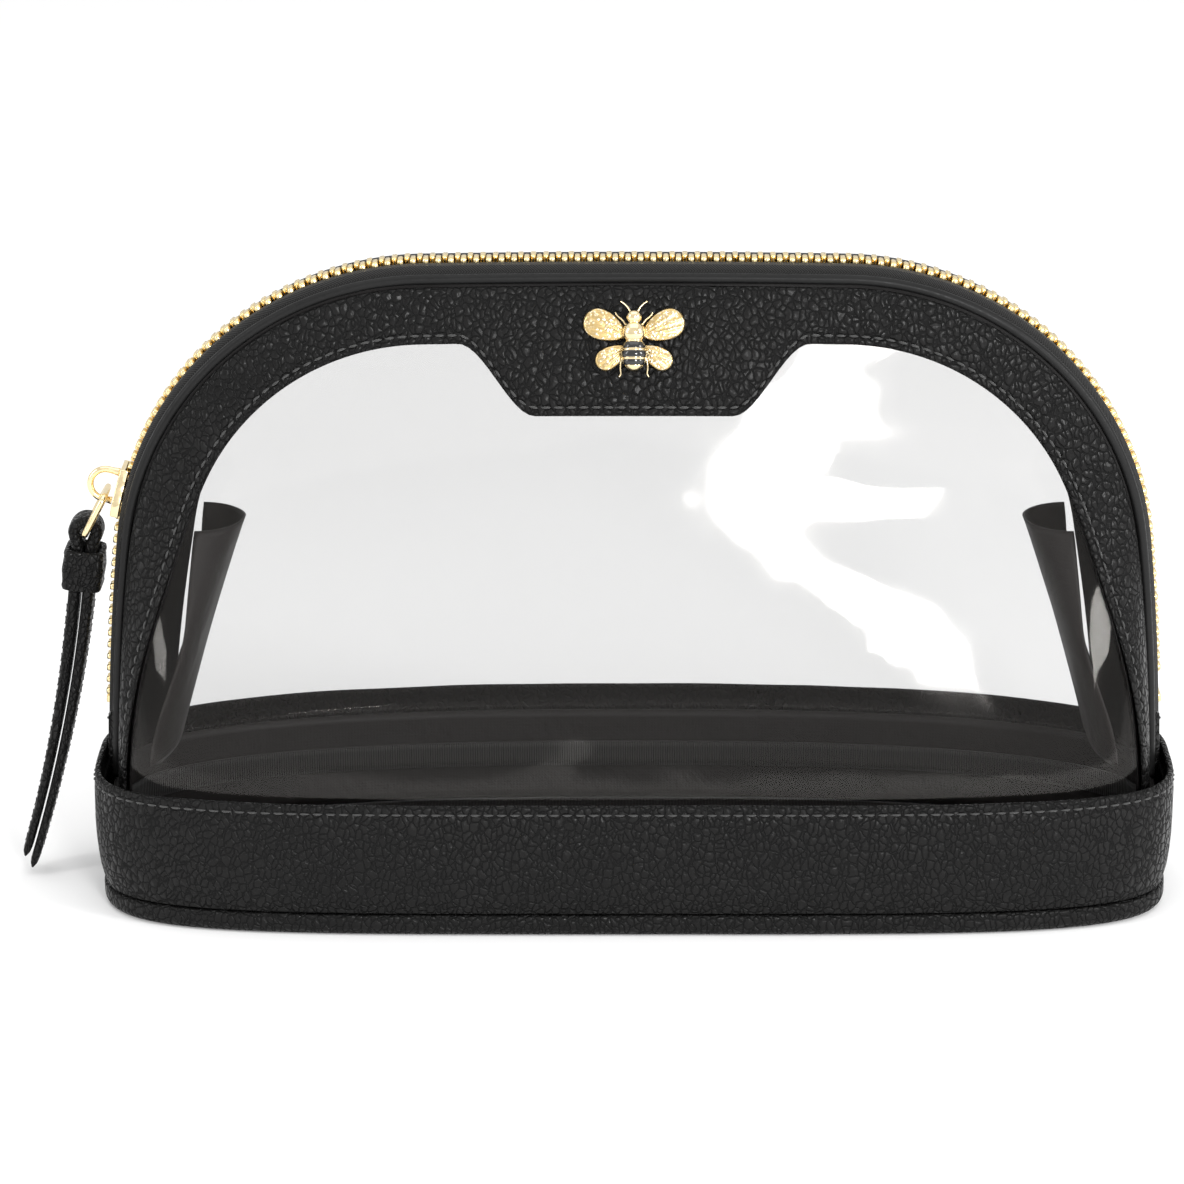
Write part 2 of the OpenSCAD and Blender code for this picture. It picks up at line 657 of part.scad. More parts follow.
// rounded wing outline from the body outwards, swept by an angle
module wing(reach, breadth, sweep) {
    rotate(sweep) translate([reach / 2, 0]) polygon([for (k = [0:23])
        let(a = 360 * k / 24) [reach / 2 * cos(a), breadth / 2 * sin(a) * (1 + 0.35 * cos(a))]]);
}
module ornament_wings() {
    color("#d8bd80") on_tab() linear_extrude(ornament_thick) difference() {
        for (side = [0, 1]) mirror([side, 0, 0]) {
            translate([1.6, 1.2]) wing(wing_long - 1.2, 6.4, 24);
            translate([1.6, -1.2]) wing(wing_long - 3.6, 4.6, -32);
        }
        square([body_wide + 0.2, 30], center = true);
    }
}
body_wide = 4.4;
body_long = 14;
band_count = 3;
band_wide = 1.5;
module body_rod(grow) {
    rotate([90, 0, 0]) cylinder(h = body_long - 4, d = body_wide - 0.6 + grow, center = true, $fn = 48);
}
module band_cuts(grow) {
    for (k = [0:band_count - 1]) translate([0, 0.4 - k * 2.4, 0]) rotate([90, 0, 0])
        cylinder(h = band_wide + grow, d = body_wide + 2, center = true, $fn = 48);
}
module ornament_body() {
    color("#d8bd80") on_tab() translate([0, 0, body_wide / 2]) {
        difference() {
            body_rod(0);
            intersection() {
                band_cuts(0);
                difference() {
                    body_rod(1);
                    body_rod(-0.9);
                }
            }
        }
        translate([0, body_long / 2 - 0.5, 0]) sphere(d = body_wide - 0.8, $fn = 32);
    }
}
module ornament_bands() {
    color("#0b0b0b") on_tab() translate([0, 0, body_wide / 2]) intersection() {
        band_cuts(-0.1);
        difference() {
            body_rod(-0.1);
            body_rod(-0.8);
        }
    }
}

base_panel();
base_board();
base_band();
floor_lining();
band_lining();
seam_binding();
front_window();
rear_window();
front_frame();
rear_frame();
front_backing();
rear_backing();
front_piping();
rear_piping();
zip_tape_front();
zip_tape_rear();
zip_teeth_front();
zip_teeth_rear();
zip_top_stops();
zip_bottom_stop();
side_tab_left();
side_tab_right();
slider_body();
slider_bail();
pull_link();
pull_strap();
pull_keeper();
gusset_left();
gusset_right();
ornament_wings();
ornament_body();
ornament_bands();
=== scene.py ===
import json
import math

import bmesh
import bpy
import numpy as np
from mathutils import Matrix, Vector, noise


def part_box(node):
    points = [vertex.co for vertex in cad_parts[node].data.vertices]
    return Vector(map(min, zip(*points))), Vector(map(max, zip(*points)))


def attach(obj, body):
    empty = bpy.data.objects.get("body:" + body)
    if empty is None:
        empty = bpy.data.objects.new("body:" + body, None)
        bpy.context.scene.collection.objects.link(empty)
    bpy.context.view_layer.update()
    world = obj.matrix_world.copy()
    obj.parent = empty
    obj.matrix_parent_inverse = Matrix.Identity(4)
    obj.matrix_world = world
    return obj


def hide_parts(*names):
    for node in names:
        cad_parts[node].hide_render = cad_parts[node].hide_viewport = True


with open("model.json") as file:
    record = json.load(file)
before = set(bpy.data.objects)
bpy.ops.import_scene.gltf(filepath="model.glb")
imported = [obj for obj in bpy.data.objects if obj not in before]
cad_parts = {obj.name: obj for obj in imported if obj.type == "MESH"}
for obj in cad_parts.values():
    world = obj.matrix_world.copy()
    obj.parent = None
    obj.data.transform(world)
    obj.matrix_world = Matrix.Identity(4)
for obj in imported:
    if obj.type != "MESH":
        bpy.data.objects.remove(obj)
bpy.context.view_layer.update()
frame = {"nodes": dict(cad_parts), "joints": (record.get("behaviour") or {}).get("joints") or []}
metre = 1000.0  # shapes below are in millimetres and are stored in metres


def boxOf(node):
    low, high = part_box(node)
    return np.array(low) * metre, np.array(high) * metre


jointAt = {j["name"]: np.array(j["pos_m"]) * metre for j in frame["joints"]}
bandLow, bandHigh = boxOf("base_band")
rimTop = boxOf("base_panel")[1][2]
tapeTop = boxOf("zip_tape_front")[1][2]
shoulderCentre = jointAt["slider_travel"]
linkTop = jointAt["link_swing"]
linkFoot = jointAt["pull_swing"]

# how the bag is cut, in millimetres and degrees
bagCut = {
    "zipHeight": tapeTop - 0.3,
    "sideLean": 6.5,
    "footLean": 1.0,
    "crownSlope": 1.0,
    "panelFoot": bandHigh[2] - 4.8,
    "zipHalf": 9.5,
    "edgeInset": 3.7,
    "panelHalf": bandHigh[1] - 3.5,
    "profilePower": 1.2,
    "upperPower": 1.22,
    "frontSquareness": 4.6,
    "rearSquareness": 2.4,
    "frameWidth": 12.5,
    "tabDrop": 15.5,
    "tabTop": 39.0,
    "tabBottom": 22.0,
    "blendFoot": 30.0,     # the panel's section turns from square to round above this height
    "blendRise": 70.0,
    "steepest": 2.4,       # the slope at which a panel's normal stops turning
}


def smooth(u):
    t = np.clip(u, 0, 1)
    return t * t * (3 - 2 * t)


def mix(a, b, t):
    return a + (b - a) * t


def solveZipLine():
    lean, foot = math.radians(bagCut["sideLean"]), math.radians(bagCut["footLean"])
    crown = math.radians(90 - bagCut["crownSlope"])
    sx, sz = -shoulderCentre[0], shoulderCentre[2]
    rise = math.tan(math.radians(bagCut["crownSlope"]) / 2)
    # the shoulder's radius follows from where its centre lies
    r = (bagCut["zipHeight"] - sz - rise * sx) / (math.sin(crown) + rise * math.cos(crown))
    sideRise = sz + r * math.sin(lean) - bagCut["panelFoot"]
    sideR = sideRise / (math.sin(lean) - math.sin(foot))
    crownR = (sx + r * math.cos(crown)) / math.cos(crown)
    arcs = {
        "side": (sx + (r - sideR) * math.cos(lean), sz + (r - sideR) * math.sin(lean), sideR),
        "shoulder": (sx, sz, r),
        "crown": (0.0, bagCut["zipHeight"] - crownR, crownR),
    }
    runs = {
        "side": sideR * (lean - foot),
        "shoulder": r * (crown - lean),
        "crown": crownR * math.radians(bagCut["crownSlope"]),
    }
    return arcs, runs


zipArcs, zipRuns = solveZipLine()
halfRun = sum(zipRuns.values())
fullRun = 2 * halfRun
shoulderRadius = zipArcs["shoulder"][2]


def zipLean(run):
    left = np.where(run > halfRun, fullRun - run, run)
    first, second = zipRuns["side"], zipRuns["side"] + zipRuns["shoulder"]
    lean = np.where(
        left < first, math.radians(bagCut["footLean"]) + left / zipArcs["side"][2],
        np.where(left < second,
                 math.radians(bagCut["sideLean"]) + (left - first) / shoulderRadius,
                 math.radians(90 - bagCut["crownSlope"]) + (left - second) / zipArcs["crown"][2]))
    return lean, left < first, left < second


def zipPoint(run, inset=0.0):
    # x and z of the zip line at a run from the left foot, moved inwards by inset
    run = np.asarray(run, float)
    lean, onSide, beforeCrown = zipLean(run)
    side, shoulder, crown = zipArcs["side"], zipArcs["shoulder"], zipArcs["crown"]
    cx, cz, radius = (np.where(onSide, side[k], np.where(beforeCrown, shoulder[k], crown[k]))
                      for k in range(3))
    sign = np.where(run > halfRun, 1.0, -1.0)
    return sign * (cx + (radius - inset) * np.cos(lean)), cz + (radius - inset) * np.sin(lean)


def zipFrame(run):
    # position, direction up the arch and direction outwards
    x, z = zipPoint(run)
    lean = zipLean(np.asarray(run, float))[0]
    sign = np.where(np.asarray(run) > halfRun, 1.0, -1.0)
    zero = np.zeros_like(x)
    along = np.stack([np.sin(lean), zero, -sign * np.cos(lean)], axis=-1)
    out = np.stack([sign * np.cos(lean), zero, np.sin(lean)], axis=-1)
    return np.stack([x, zero, z], axis=-1), along, out


def halfWidth(z, inset):
    z = np.asarray(z, float)
    side, shoulder, crown = zipArcs["side"], zipArcs["shoulder"], zipArcs["crown"]
    atSide = z < side[1] + (side[2] - inset) * math.sin(math.radians(bagCut["sideLean"]))
    atShoulder = z < shoulder[1] + (shoulder[2] - inset) * math.cos(math.radians(bagCut["crownSlope"]))
    widths = [np.sqrt(np.maximum(0, (arc[2] - inset) ** 2 - (z - arc[1]) ** 2)) + arc[0]
              for arc in (side, shoulder, crown)]
    return np.where(atSide, widths[0], np.where(atShoulder, widths[1], widths[2]))


edgeTop = bagCut["zipHeight"] - bagCut["edgeInset"]


def panelDepth(x, z, side=1):
    # how far the front (side 1) or rear (side -1) panel stands from the middle of the bag
    foot, power = bagCut["panelFoot"], bagCut["profilePower"]
    w = np.clip((z - foot) / (edgeTop - foot), 0, 1)
    edge = bagCut["zipHalf"]
    centre = mix(edge, bagCut["panelHalf"], (1 - w ** power) ** (1 / power))
    t = smooth((z - bagCut["blendFoot"]) / bagCut["blendRise"])
    p = mix(bagCut["frontSquareness"] if side > 0 else bagCut["rearSquareness"], bagCut["upperPower"], t)
    u = np.clip(np.abs(x) / np.maximum(0.01, halfWidth(z, bagCut["edgeInset"])), 0, 1)
    share = 1 - u ** p
    rounded = (edge ** p + (centre ** p - edge ** p) * share) ** (1 / p)
    return mix(rounded, edge + (centre - edge) * share ** (1 / p), t)


def panelOut(x, z, side=1):
    px, pz = x * 0.985, mix(bagCut["panelFoot"], z, 0.985)
    step, steepest = 0.5, bagCut["steepest"]
    gx = panelDepth(px + step, pz, side) - panelDepth(px - step, pz, side)
    gz = panelDepth(px, pz + step, side) - panelDepth(px, pz - step, side)
    length = np.hypot(gx, gz)
    cut = np.where(length > steepest, steepest / np.maximum(length, 1e-9), 1.0)
    n = np.stack([-gx * cut, -side * np.ones_like(gx), -gz * cut], axis=-1)
    return n / np.linalg.norm(n, axis=-1, keepdims=True)


def panelPoint(x, z, side=1):
    return np.stack([x, -side * panelDepth(x, z, side), z], axis=-1)


def runsOf(path):
    # how far along a path each of its points lies
    return np.concatenate([[0], np.cumsum(np.linalg.norm(np.diff(path, axis=0), axis=1))])


def atRuns(want, run, path):
    return np.stack([np.interp(want, run, path[:, k]) for k in range(path.shape[1])], axis=-1)


def lumps(points, size, seed=0.0):
    # slow smooth noise over points, from about -1 to 1
    flat = np.asarray(points).reshape(-1, 3) / size
    values = [noise.noise(Vector((p[0] + seed, p[1] - seed, p[2] + 0.37 * seed))) for p in flat]
    return np.array(values).reshape(np.asarray(points).shape[:-1])


def outline(halfX, halfY, count):
    # the base outline, squarer at the front, its points evenly spaced
    a = np.linspace(0, 2 * np.pi, 4001)
    q = 2 / np.where(np.sin(a) < 0, bagCut["frontSquareness"], bagCut["rearSquareness"])
    pts = np.stack([halfX * np.sign(np.cos(a)) * np.abs(np.cos(a)) ** q,
                    halfY * np.sign(np.sin(a)) * np.abs(np.sin(a)) ** q], axis=-1)
    run = runsOf(pts)
    return atRuns(np.linspace(0, run[-1], count + 1)[:-1], run, pts)


# meshes
def makePiece(name, points, faces, material, body="bag", stands=(), lie=None):
    mesh = bpy.data.meshes.new(name)
    mesh.from_pydata((np.asarray(points, float).reshape(-1, 3) / metre).tolist(), [], faces)
    if lie is not None:  # where each point lies on the flat cloth, in metres
        layer = mesh.attributes.new("lie", "FLOAT_VECTOR", "POINT")
        layer.data.foreach_set("vector", (np.asarray(lie, float).reshape(-1) / metre))
    mesh.validate()
    work = bmesh.new()
    work.from_mesh(mesh)
    bmesh.ops.recalc_face_normals(work, faces=work.faces)
    work.to_mesh(mesh)
    work.free()
    mesh.shade_smooth()
    piece = bpy.data.objects.new(name, mesh)
    bpy.context.scene.collection.objects.link(piece)
    return finishPiece(piece, material, body, stands)


def makeLoft(name, rings, material, body, stands, closed=False, lie=None):
    faces = ringFaces(len(rings), rings.shape[1], closed)
    return makePiece(name, rings, faces, material, body, stands, lie)


def finishPiece(piece, material, body, stands):
    piece.data.materials.clear()
    piece.data.materials.append(material)
    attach(piece, body)
    if stands:
        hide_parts(*stands)
    return piece


def gridFaces(rows, cols, closeRows=False, closeCols=False, start=0):
    faces = []
    for i in range(rows if closeRows else rows - 1):
        for j in range(cols if closeCols else cols - 1):
            a, b = i % rows, (i + 1) % rows
            c, d = j % cols, (j + 1) % cols
            faces.append((start + a * cols + c, start + a * cols + d,
                          start + b * cols + d, start + b * cols + c))
    return faces


def ringFaces(rings, loop, closed, start=0):
    faces = gridFaces(rings, loop, closed, True, start)
    if not closed:
        faces.append(tuple(range(start, start + loop)))
        faces.append(tuple(range(start + rings * loop - 1, start + (rings - 1) * loop - 1, -1)))
    return faces


def alongColumn(columns, marks):
    # points at the wanted lengths down each column of points
    return np.array([atRuns(want, runsOf(column), column) for want, column in zip(marks, columns)])


def plySolid(base, out, high, low):
    # one ring for each column: its outer face down, its inner face back up
    outer = base + out * high[..., None]
    inner = base + out * low[..., None]
    return np.concatenate([outer, inner[:, -2:0:-1]], axis=1)


def tubePoints(path, radius, sides, upHint=(0, 1, 0)):
    path = np.asarray(path, float)
    radius = np.broadcast_to(radius, (len(path),))
    along = np.gradient(path, axis=0)
    along /= np.linalg.norm(along, axis=1, keepdims=True)
    one = np.cross(along, np.asarray(upHint, float))
    one /= np.linalg.norm(one, axis=1, keepdims=True)
    two = np.cross(along, one)
    a = np.linspace(0, 2 * np.pi, sides, endpoint=False)
    return (path[:, None] + radius[:, None, None]
            * (np.cos(a)[None, :, None] * one[:, None] + np.sin(a)[None, :, None] * two[:, None]))


def evenAlong(path, pitch):
    # points, directions and runs spaced evenly along a path
    path = np.asarray(path, float)
    run, reach = runsOf(path), 0.3
    count = max(1, int(run[-1] // pitch))
    want = (np.arange(count) + 0.5) * run[-1] / count
    along = atRuns(want + reach, run, path) - atRuns(want - reach, run, path)
    along /= np.maximum(1e-9, np.linalg.norm(along, axis=1, keepdims=True))
    return atRuns(want, run, path), along, want / run[-1]


# materials
class Finish:
    # a Principled material with a few helpers for wiring its nodes

    def __init__(self, name, colour, rough, **sockets):
        self.material = bpy.data.materials.new(name)
        self.material.use_nodes = True
        self.nodes = self.material.node_tree.nodes
        self.links = self.material.node_tree.links
        self.shader = self.nodes["Principled BSDF"]
        self.shader.inputs["Base Color"].default_value = (*colour, 1)
        self.shader.inputs["Roughness"].default_value = rough
        for socket, value in sockets.items():
            self.shader.inputs[socket.replace("_", " ")].default_value = value

    def add(self, kind, **values):
        made = self.nodes.new("ShaderNode" + kind)
        for key, value in values.items():
            setattr(made, key, value)
        return made

    def plug(self, source, target):
        self.links.new(source, target)

    def place(self, attribute=None):
        if attribute:
            return self.add("Attribute", attribute_name=attribute).outputs["Vector"]
        return self.add("TexCoord").outputs["Object"]

    def noiseAt(self, where, scale, detail=2.0, roughness=0.5, distortion=0.0):
        made = self.add("TexNoise")
        made.inputs["Scale"].default_value = scale
        made.inputs["Detail"].default_value = detail
        made.inputs["Roughness"].default_value = roughness
        made.inputs["Distortion"].default_value = distortion
        self.plug(where, made.inputs["Vector"])
        return made.outputs["Fac"]

    def cells(self, where, scale, feature="DISTANCE_TO_EDGE"):
        made = self.add("TexVoronoi", feature=feature)
        made.inputs["Scale"].default_value = scale
        self.plug(where, made.inputs["Vector"])
        return made.outputs["Distance"]

    def rescale(self, value, low, high, newLow, newHigh):
        made = self.add("MapRange", interpolation_type="SMOOTHSTEP")
        for socket, number in zip(("From Min", "From Max", "To Min", "To Max"),
                                  (low, high, newLow, newHigh)):
            made.inputs[socket].default_value = number
        self.plug(value, made.inputs["Value"])
        return made.outputs["Result"]

    def sum(self, a, b, operation="ADD"):
        made = self.add("Math", operation=operation)
        for socket, value in zip(made.inputs, (a, b)):
            if isinstance(value, (int, float)):
                socket.default_value = value
            else:
                self.plug(value, socket)
        return made.outputs["Value"]

    def shift(self, where, value, amount):
        # moves the place by a noise value so cells don't run straight
        centred = self.add("VectorMath", operation="SCALE")
        offset = self.add("VectorMath", operation="SUBTRACT")
        offset.inputs[1].default_value = (0.5, 0.5, 0.5)
        self.plug(value, offset.inputs[0])
        self.plug(offset.outputs["Vector"], centred.inputs[0])
        centred.inputs["Scale"].default_value = amount
        made = self.add("VectorMath", operation="ADD")
        self.plug(where, made.inputs[0])
        self.plug(centred.outputs["Vector"], made.inputs[1])
        return made.outputs["Vector"]

    def colours(self, value, dark, light):
        made = self.add("Mix", data_type="RGBA")
        made.inputs[6].default_value = (*dark, 1)   # the colour sockets have no names of their own
        made.inputs[7].default_value = (*light, 1)
        self.plug(value, made.inputs[0])
        self.plug(made.outputs[2], self.shader.inputs["Base Color"])

    def rough(self, value):
        self.plug(value, self.shader.inputs["Roughness"])

    def bump(self, height, strength, distance):
        made = self.add("Bump")
        made.inputs["Strength"].default_value = strength
        made.inputs["Distance"].default_value = distance
        self.plug(height, made.inputs["Height"])
        if self.shader.inputs["Normal"].links:
            self.plug(self.shader.inputs["Normal"].links[0].from_socket, made.inputs["Normal"])
        self.plug(made.outputs["Normal"], self.shader.inputs["Normal"])


leatherLook = {
    "pebble": 1.5,         # across one cell of the grain, mm
    "creaseDepth": 0.34,   # mm
    # dark is painted into the creases between the cells as painted shade, light is the lighter cell tops
    "dark": (0.0018, 0.0018, 0.0018),
    "light": (0.0085, 0.0082, 0.008),
    "shine": 0.17,
    "wander": 0.0022,      # how far the cells stray, in metres
    "upright": 0.72,       # below 1 the grain runs a little upwards
}


def pebbledLeather(name, pebble=1.0, depth=1.0, light=1.0):
    tone = tuple(c * light for c in leatherLook["light"])
    skin = Finish(name, leatherLook["dark"], 0.45, Specular_IOR_Level=leatherLook["shine"])
    where = skin.place()
    wander = skin.add("TexNoise")
    wander.inputs["Scale"].default_value = 300
    skin.plug(where, wander.inputs["Vector"])
    bent = skin.shift(where, wander.outputs["Color"], leatherLook["wander"])
    stretch = skin.add("VectorMath", operation="MULTIPLY")
    stretch.inputs[1].default_value = (1.0, 1.0, leatherLook["upright"])
    skin.plug(bent, stretch.inputs[0])
    scale = metre / (leatherLook["pebble"] * pebble)
    crease = skin.cells(stretch.outputs["Vector"], scale)
    dome = skin.cells(stretch.outputs["Vector"], scale, "F1")
    edge = skin.rescale(crease, 0.0, 0.16, 0.0, 1.0)
    crown = skin.rescale(dome, 0.0, 0.8, 1.0, 0.0)
    fine = skin.noiseAt(where, 3800, 3)
    height = skin.sum(skin.sum(edge, 0.7, "MULTIPLY"), skin.sum(crown, 0.7, "MULTIPLY"))
    broad = skin.noiseAt(where, 45, 2)
    # painted shade: the colour is darker in the creases between the cells and lighter on the cell tops,
    # with a broad random tone over it
    skin.colours(skin.sum(edge, broad, "MULTIPLY"), leatherLook["dark"], tone)
    skin.rough(skin.sum(skin.rescale(edge, 0, 1, 0.7, 0.3), skin.rescale(broad, 0.3, 0.7, -0.04, 0.06)))
    skin.bump(fine, 0.12, 0.00003)
    skin.bump(height, 1.0, leatherLook["creaseDepth"] * depth / metre)
    return skin.material


clothLook = {
    "threads": 2600.0,     # in a metre of the lining
    "turn": 6.283,         # one full wave
    "ribPitch": 0.9,       # mm
    "zigWide": 0.0022,     # width of one herringbone row, in metres
    "twillPitch": 0.62,    # mm
}
vinylLook = {
    "mirror": (0.125, 0.12, 0.115),
    "hold": 0.10,          # what one face keeps of the light that meets it squarely
    "rimHold": 0.4,
    "waveScale": 26,
    "waveDepth": 0.0016,
}


def smoothLeather(name, tone=(0.006, 0.006, 0.006), rough=0.4):
    skin = Finish(name, tone, rough, Specular_IOR_Level=0.2)
    where = skin.place()
    creases = skin.noiseAt(where, 900, 4, 0.6, 0.6)
    broad = skin.noiseAt(where, 70, 2)
    skin.colours(broad, tuple(c * 0.7 for c in tone), tuple(c * 1.6 for c in tone))
    skin.rough(skin.rescale(creases, 0.3, 0.7, rough - 0.08, rough + 0.12))
    skin.bump(creases, 0.35, 0.00006)
    return skin.material


def liningCloth(name, tone=(0.0075, 0.0065, 0.0062)):
    cloth = Finish(name, tone, 0.5, Specular_IOR_Level=0.22, Sheen_Weight=0.06,
                   Sheen_Roughness=0.35)
    where = cloth.place("lie")
    lines = []
    for axis in (0, 1):
        wave = cloth.add("TexWave", wave_type="BANDS", bands_direction="XY"[axis])
        wave.inputs["Scale"].default_value = clothLook["threads"] / clothLook["turn"]
        wave.inputs["Distortion"].default_value = 0.4
        wave.inputs["Detail"].default_value = 1
        cloth.plug(where, wave.inputs["Vector"])
        lines.append(wave.outputs["Fac"])
    weave = cloth.sum(lines[0], lines[1], "MULTIPLY")
    creases = cloth.noiseAt(cloth.place(), 60, 4, 0.6, 0.8)
    # painted shade: the colour follows the crease noise, darker in the troughs of the folds and lighter on
    # their crests
    cloth.colours(creases, tuple(c * 0.7 for c in tone), tuple(c * 1.9 for c in tone))
    cloth.rough(cloth.rescale(weave, 0, 1, 0.62, 0.42))
    cloth.bump(weave, 0.35, 0.00004)
    cloth.bump(creases, 0.5, 0.0012)
    return cloth.material


def ribbedCloth():
    cloth = Finish("ribbed_binding", (0.010, 0.010, 0.010), 0.6, Specular_IOR_Level=0.25,
                   Sheen_Weight=0.06)
    where = cloth.place("lie")
    ribs = cloth.add("TexWave", wave_type="BANDS", bands_direction="X")
    ribs.inputs["Scale"].default_value = metre / clothLook["ribPitch"] / clothLook["turn"] * 3.14
    ribs.inputs["Distortion"].default_value = 0.3
    cloth.plug(where, ribs.inputs["Vector"])
    # painted shade: the colour follows the ribs, dark in the grooves between them and light on their
    # crests
    cloth.colours(ribs.outputs["Fac"], (0.004, 0.004, 0.004), (0.026, 0.025, 0.024))
    cloth.bump(ribs.outputs["Fac"], 0.9, 0.00012)
    return cloth.material


def herringboneTape():
    tape = Finish("herringbone_tape", (0.014, 0.014, 0.014), 0.6, Specular_IOR_Level=0.25,
                  Sheen_Weight=0.05)
    where = tape.place("lie")
    split = tape.add("SeparateXYZ")
    tape.plug(where, split.inputs["Vector"])
    # slanted threads that turn back every few millimetres across the tape
    zig = tape.sum(split.outputs["Y"], clothLook["zigWide"], "PINGPONG")
    slant = tape.sum(split.outputs["X"], zig)
    wave = tape.add("Math", operation="SINE")
    tape.plug(tape.sum(slant, metre * clothLook["turn"] / clothLook["twillPitch"], "MULTIPLY"),
              wave.inputs[0])
    thread = tape.rescale(wave.outputs["Value"], -1, 1, 0, 1)
    fuzz = tape.noiseAt(where, 2400, 3)
    # painted shade: the colour follows the threads, dark in the grooves between them and light on their
    # crests, with fine random fuzz
    tape.colours(tape.sum(thread, fuzz, "MULTIPLY"), (0.002, 0.002, 0.002), (0.024, 0.0235, 0.0225))
    tape.rough(tape.rescale(thread, 0, 1, 0.75, 0.5))
    tape.bump(thread, 0.9, 0.00014)
    return tape.material


def clearVinyl():
    # each face of the sheet lets most light by and mirrors a little of the rest
    sheet = Finish("clear_vinyl", vinylLook["mirror"], 0.06, Metallic=1.0)
    where = sheet.place()
    waves = sheet.noiseAt(where, vinylLook["waveScale"], 2)
    fresnel = sheet.add("LayerWeight")
    fresnel.inputs["Blend"].default_value = 0.35
    rim = sheet.sum(fresnel.outputs["Facing"], 3.0, "POWER")
    alpha = sheet.sum(sheet.sum(rim, vinylLook["rimHold"], "MULTIPLY"), vinylLook["hold"])
    sheet.plug(alpha, sheet.shader.inputs["Alpha"])
    sheet.rough(sheet.rescale(waves, 0.3, 0.7, 0.04, 0.09))
    sheet.bump(waves, 0.5, vinylLook["waveDepth"])
    return sheet.material


def goldMetal(name, tone=(0.90, 0.70, 0.36), rough=0.16):
    gold = Finish(name, tone, rough, Metallic=1.0)
    where = gold.place()
    wear = gold.noiseAt(where, 420, 4, 0.6)
    scuffs = gold.noiseAt(where, 2600, 2)
    gold.colours(wear, tuple(c * 0.86 for c in tone), tuple(min(1.0, c * 1.08) for c in tone))
    gold.rough(gold.rescale(wear, 0.3, 0.75, rough - 0.05, rough + 0.14))
    gold.bump(scuffs, 0.10, 0.00003)
    return gold.material


def studdedGold():
    # small raised grains set close together
    gold = Finish("studded_gold", (0.93, 0.78, 0.52), 0.18, Metallic=1.0)
    where = gold.place()
    studDomeAndShade = gold.rescale(gold.cells(where, metre / 0.75, "F1"), 0.0, 0.6, 1.0, 0.0)
    # painted shade: the colour is dark in the gaps between the grains and light on their tops
    gold.colours(studDomeAndShade, (0.62, 0.45, 0.20), (0.98, 0.88, 0.68))
    gold.rough(gold.rescale(studDomeAndShade, 0, 1, 0.32, 0.12))
    gold.bump(studDomeAndShade, 0.6, 0.00012)
    return gold.material


def blackEnamel():
    enamel = Finish("black_enamel", (0.004, 0.004, 0.004), 0.12, Coat_Weight=0.6)
    where = enamel.place()
    dust = enamel.noiseAt(where, 1500, 3)
    enamel.colours(dust, (0.003, 0.003, 0.003), (0.012, 0.011, 0.010))
    enamel.rough(enamel.rescale(dust, 0.3, 0.7, 0.08, 0.2))
    return enamel.material


def greyBoard():
    board = Finish("stiffener_board", (0.14, 0.13, 0.11), 0.85)
    where = board.place()
    fibres = board.noiseAt(where, 700, 5, 0.7)
    board.colours(fibres, (0.09, 0.08, 0.07), (0.20, 0.18, 0.155))
    board.bump(fibres, 0.3, 0.0001)
    return board.material


def blackThread():
    thread = Finish("black_thread", (0.012, 0.012, 0.012), 0.55, Sheen_Weight=0.3)
    where = thread.place()
    twist = thread.noiseAt(where, 4200, 2)
    thread.colours(twist, (0.006, 0.006, 0.006), (0.030, 0.030, 0.029))
    thread.bump(twist, 0.6, 0.00005)
    return thread.material


pebbled = pebbledLeather("pebbled_leather")
pullLeather = pebbledLeather("pull_leather", 0.75, 0.9, 1.6)
pipingLeather = smoothLeather("piping_leather")
backingLeather = smoothLeather("backing_leather", (0.009, 0.008, 0.008), 0.38)
lining = liningCloth("lining_cloth")
gussetCloth = liningCloth("gusset_cloth", (0.010, 0.0085, 0.008))
ribbed = ribbedCloth()
tapeCloth = herringboneTape()
vinyl = clearVinyl()
zipGold = goldMetal("zip_metal", (0.92, 0.74, 0.40), 0.2)
paleGold = goldMetal("gold_metal", (0.93, 0.76, 0.46), 0.14)
wingGold = studdedGold()
enamel = blackEnamel()
threadBlack = blackThread()
frame["nodes"]["base_board"].material_slots[0].material = greyBoard()
print("materials made")

# base
basePieces = {
    "points": 360,
    "rimInset": 1.4,
    "skin": 1.6,
    "bandThick": 1.6,
    "stitchPitch": 2.9,
    "stitchDrop": 2.1,   # below the turned top edge
    "flatReach": 60.0,        # reach of the flat underside in from the rim
    "rimLumps": 0.12,
    "bandLumps": 0.22,
}


def wallGrid(rows, count):
    # rows of (inset, z); one section of the wall for each point of the outline
    return np.stack([np.concatenate([outline(bandHigh[0] - inset, bandHigh[1] - inset, count),
                                     np.full((count, 1), z)], axis=1) for inset, z in rows], axis=1)


def wallLie(grid):
    lie = np.zeros_like(grid)
    lie[..., 0] = runsOf(grid[:, 0])[:, None]
    lie[..., 1] = np.cumsum(np.linalg.norm(np.diff(grid, axis=1, prepend=grid[:, :1]), axis=2), axis=1)
    return lie


def roundCorner(centre, radius, start, end, steps):
    a = np.radians(np.linspace(start, end, steps))
    return [(centre[0] - radius * math.cos(t), centre[1] + radius * math.sin(t)) for t in a]


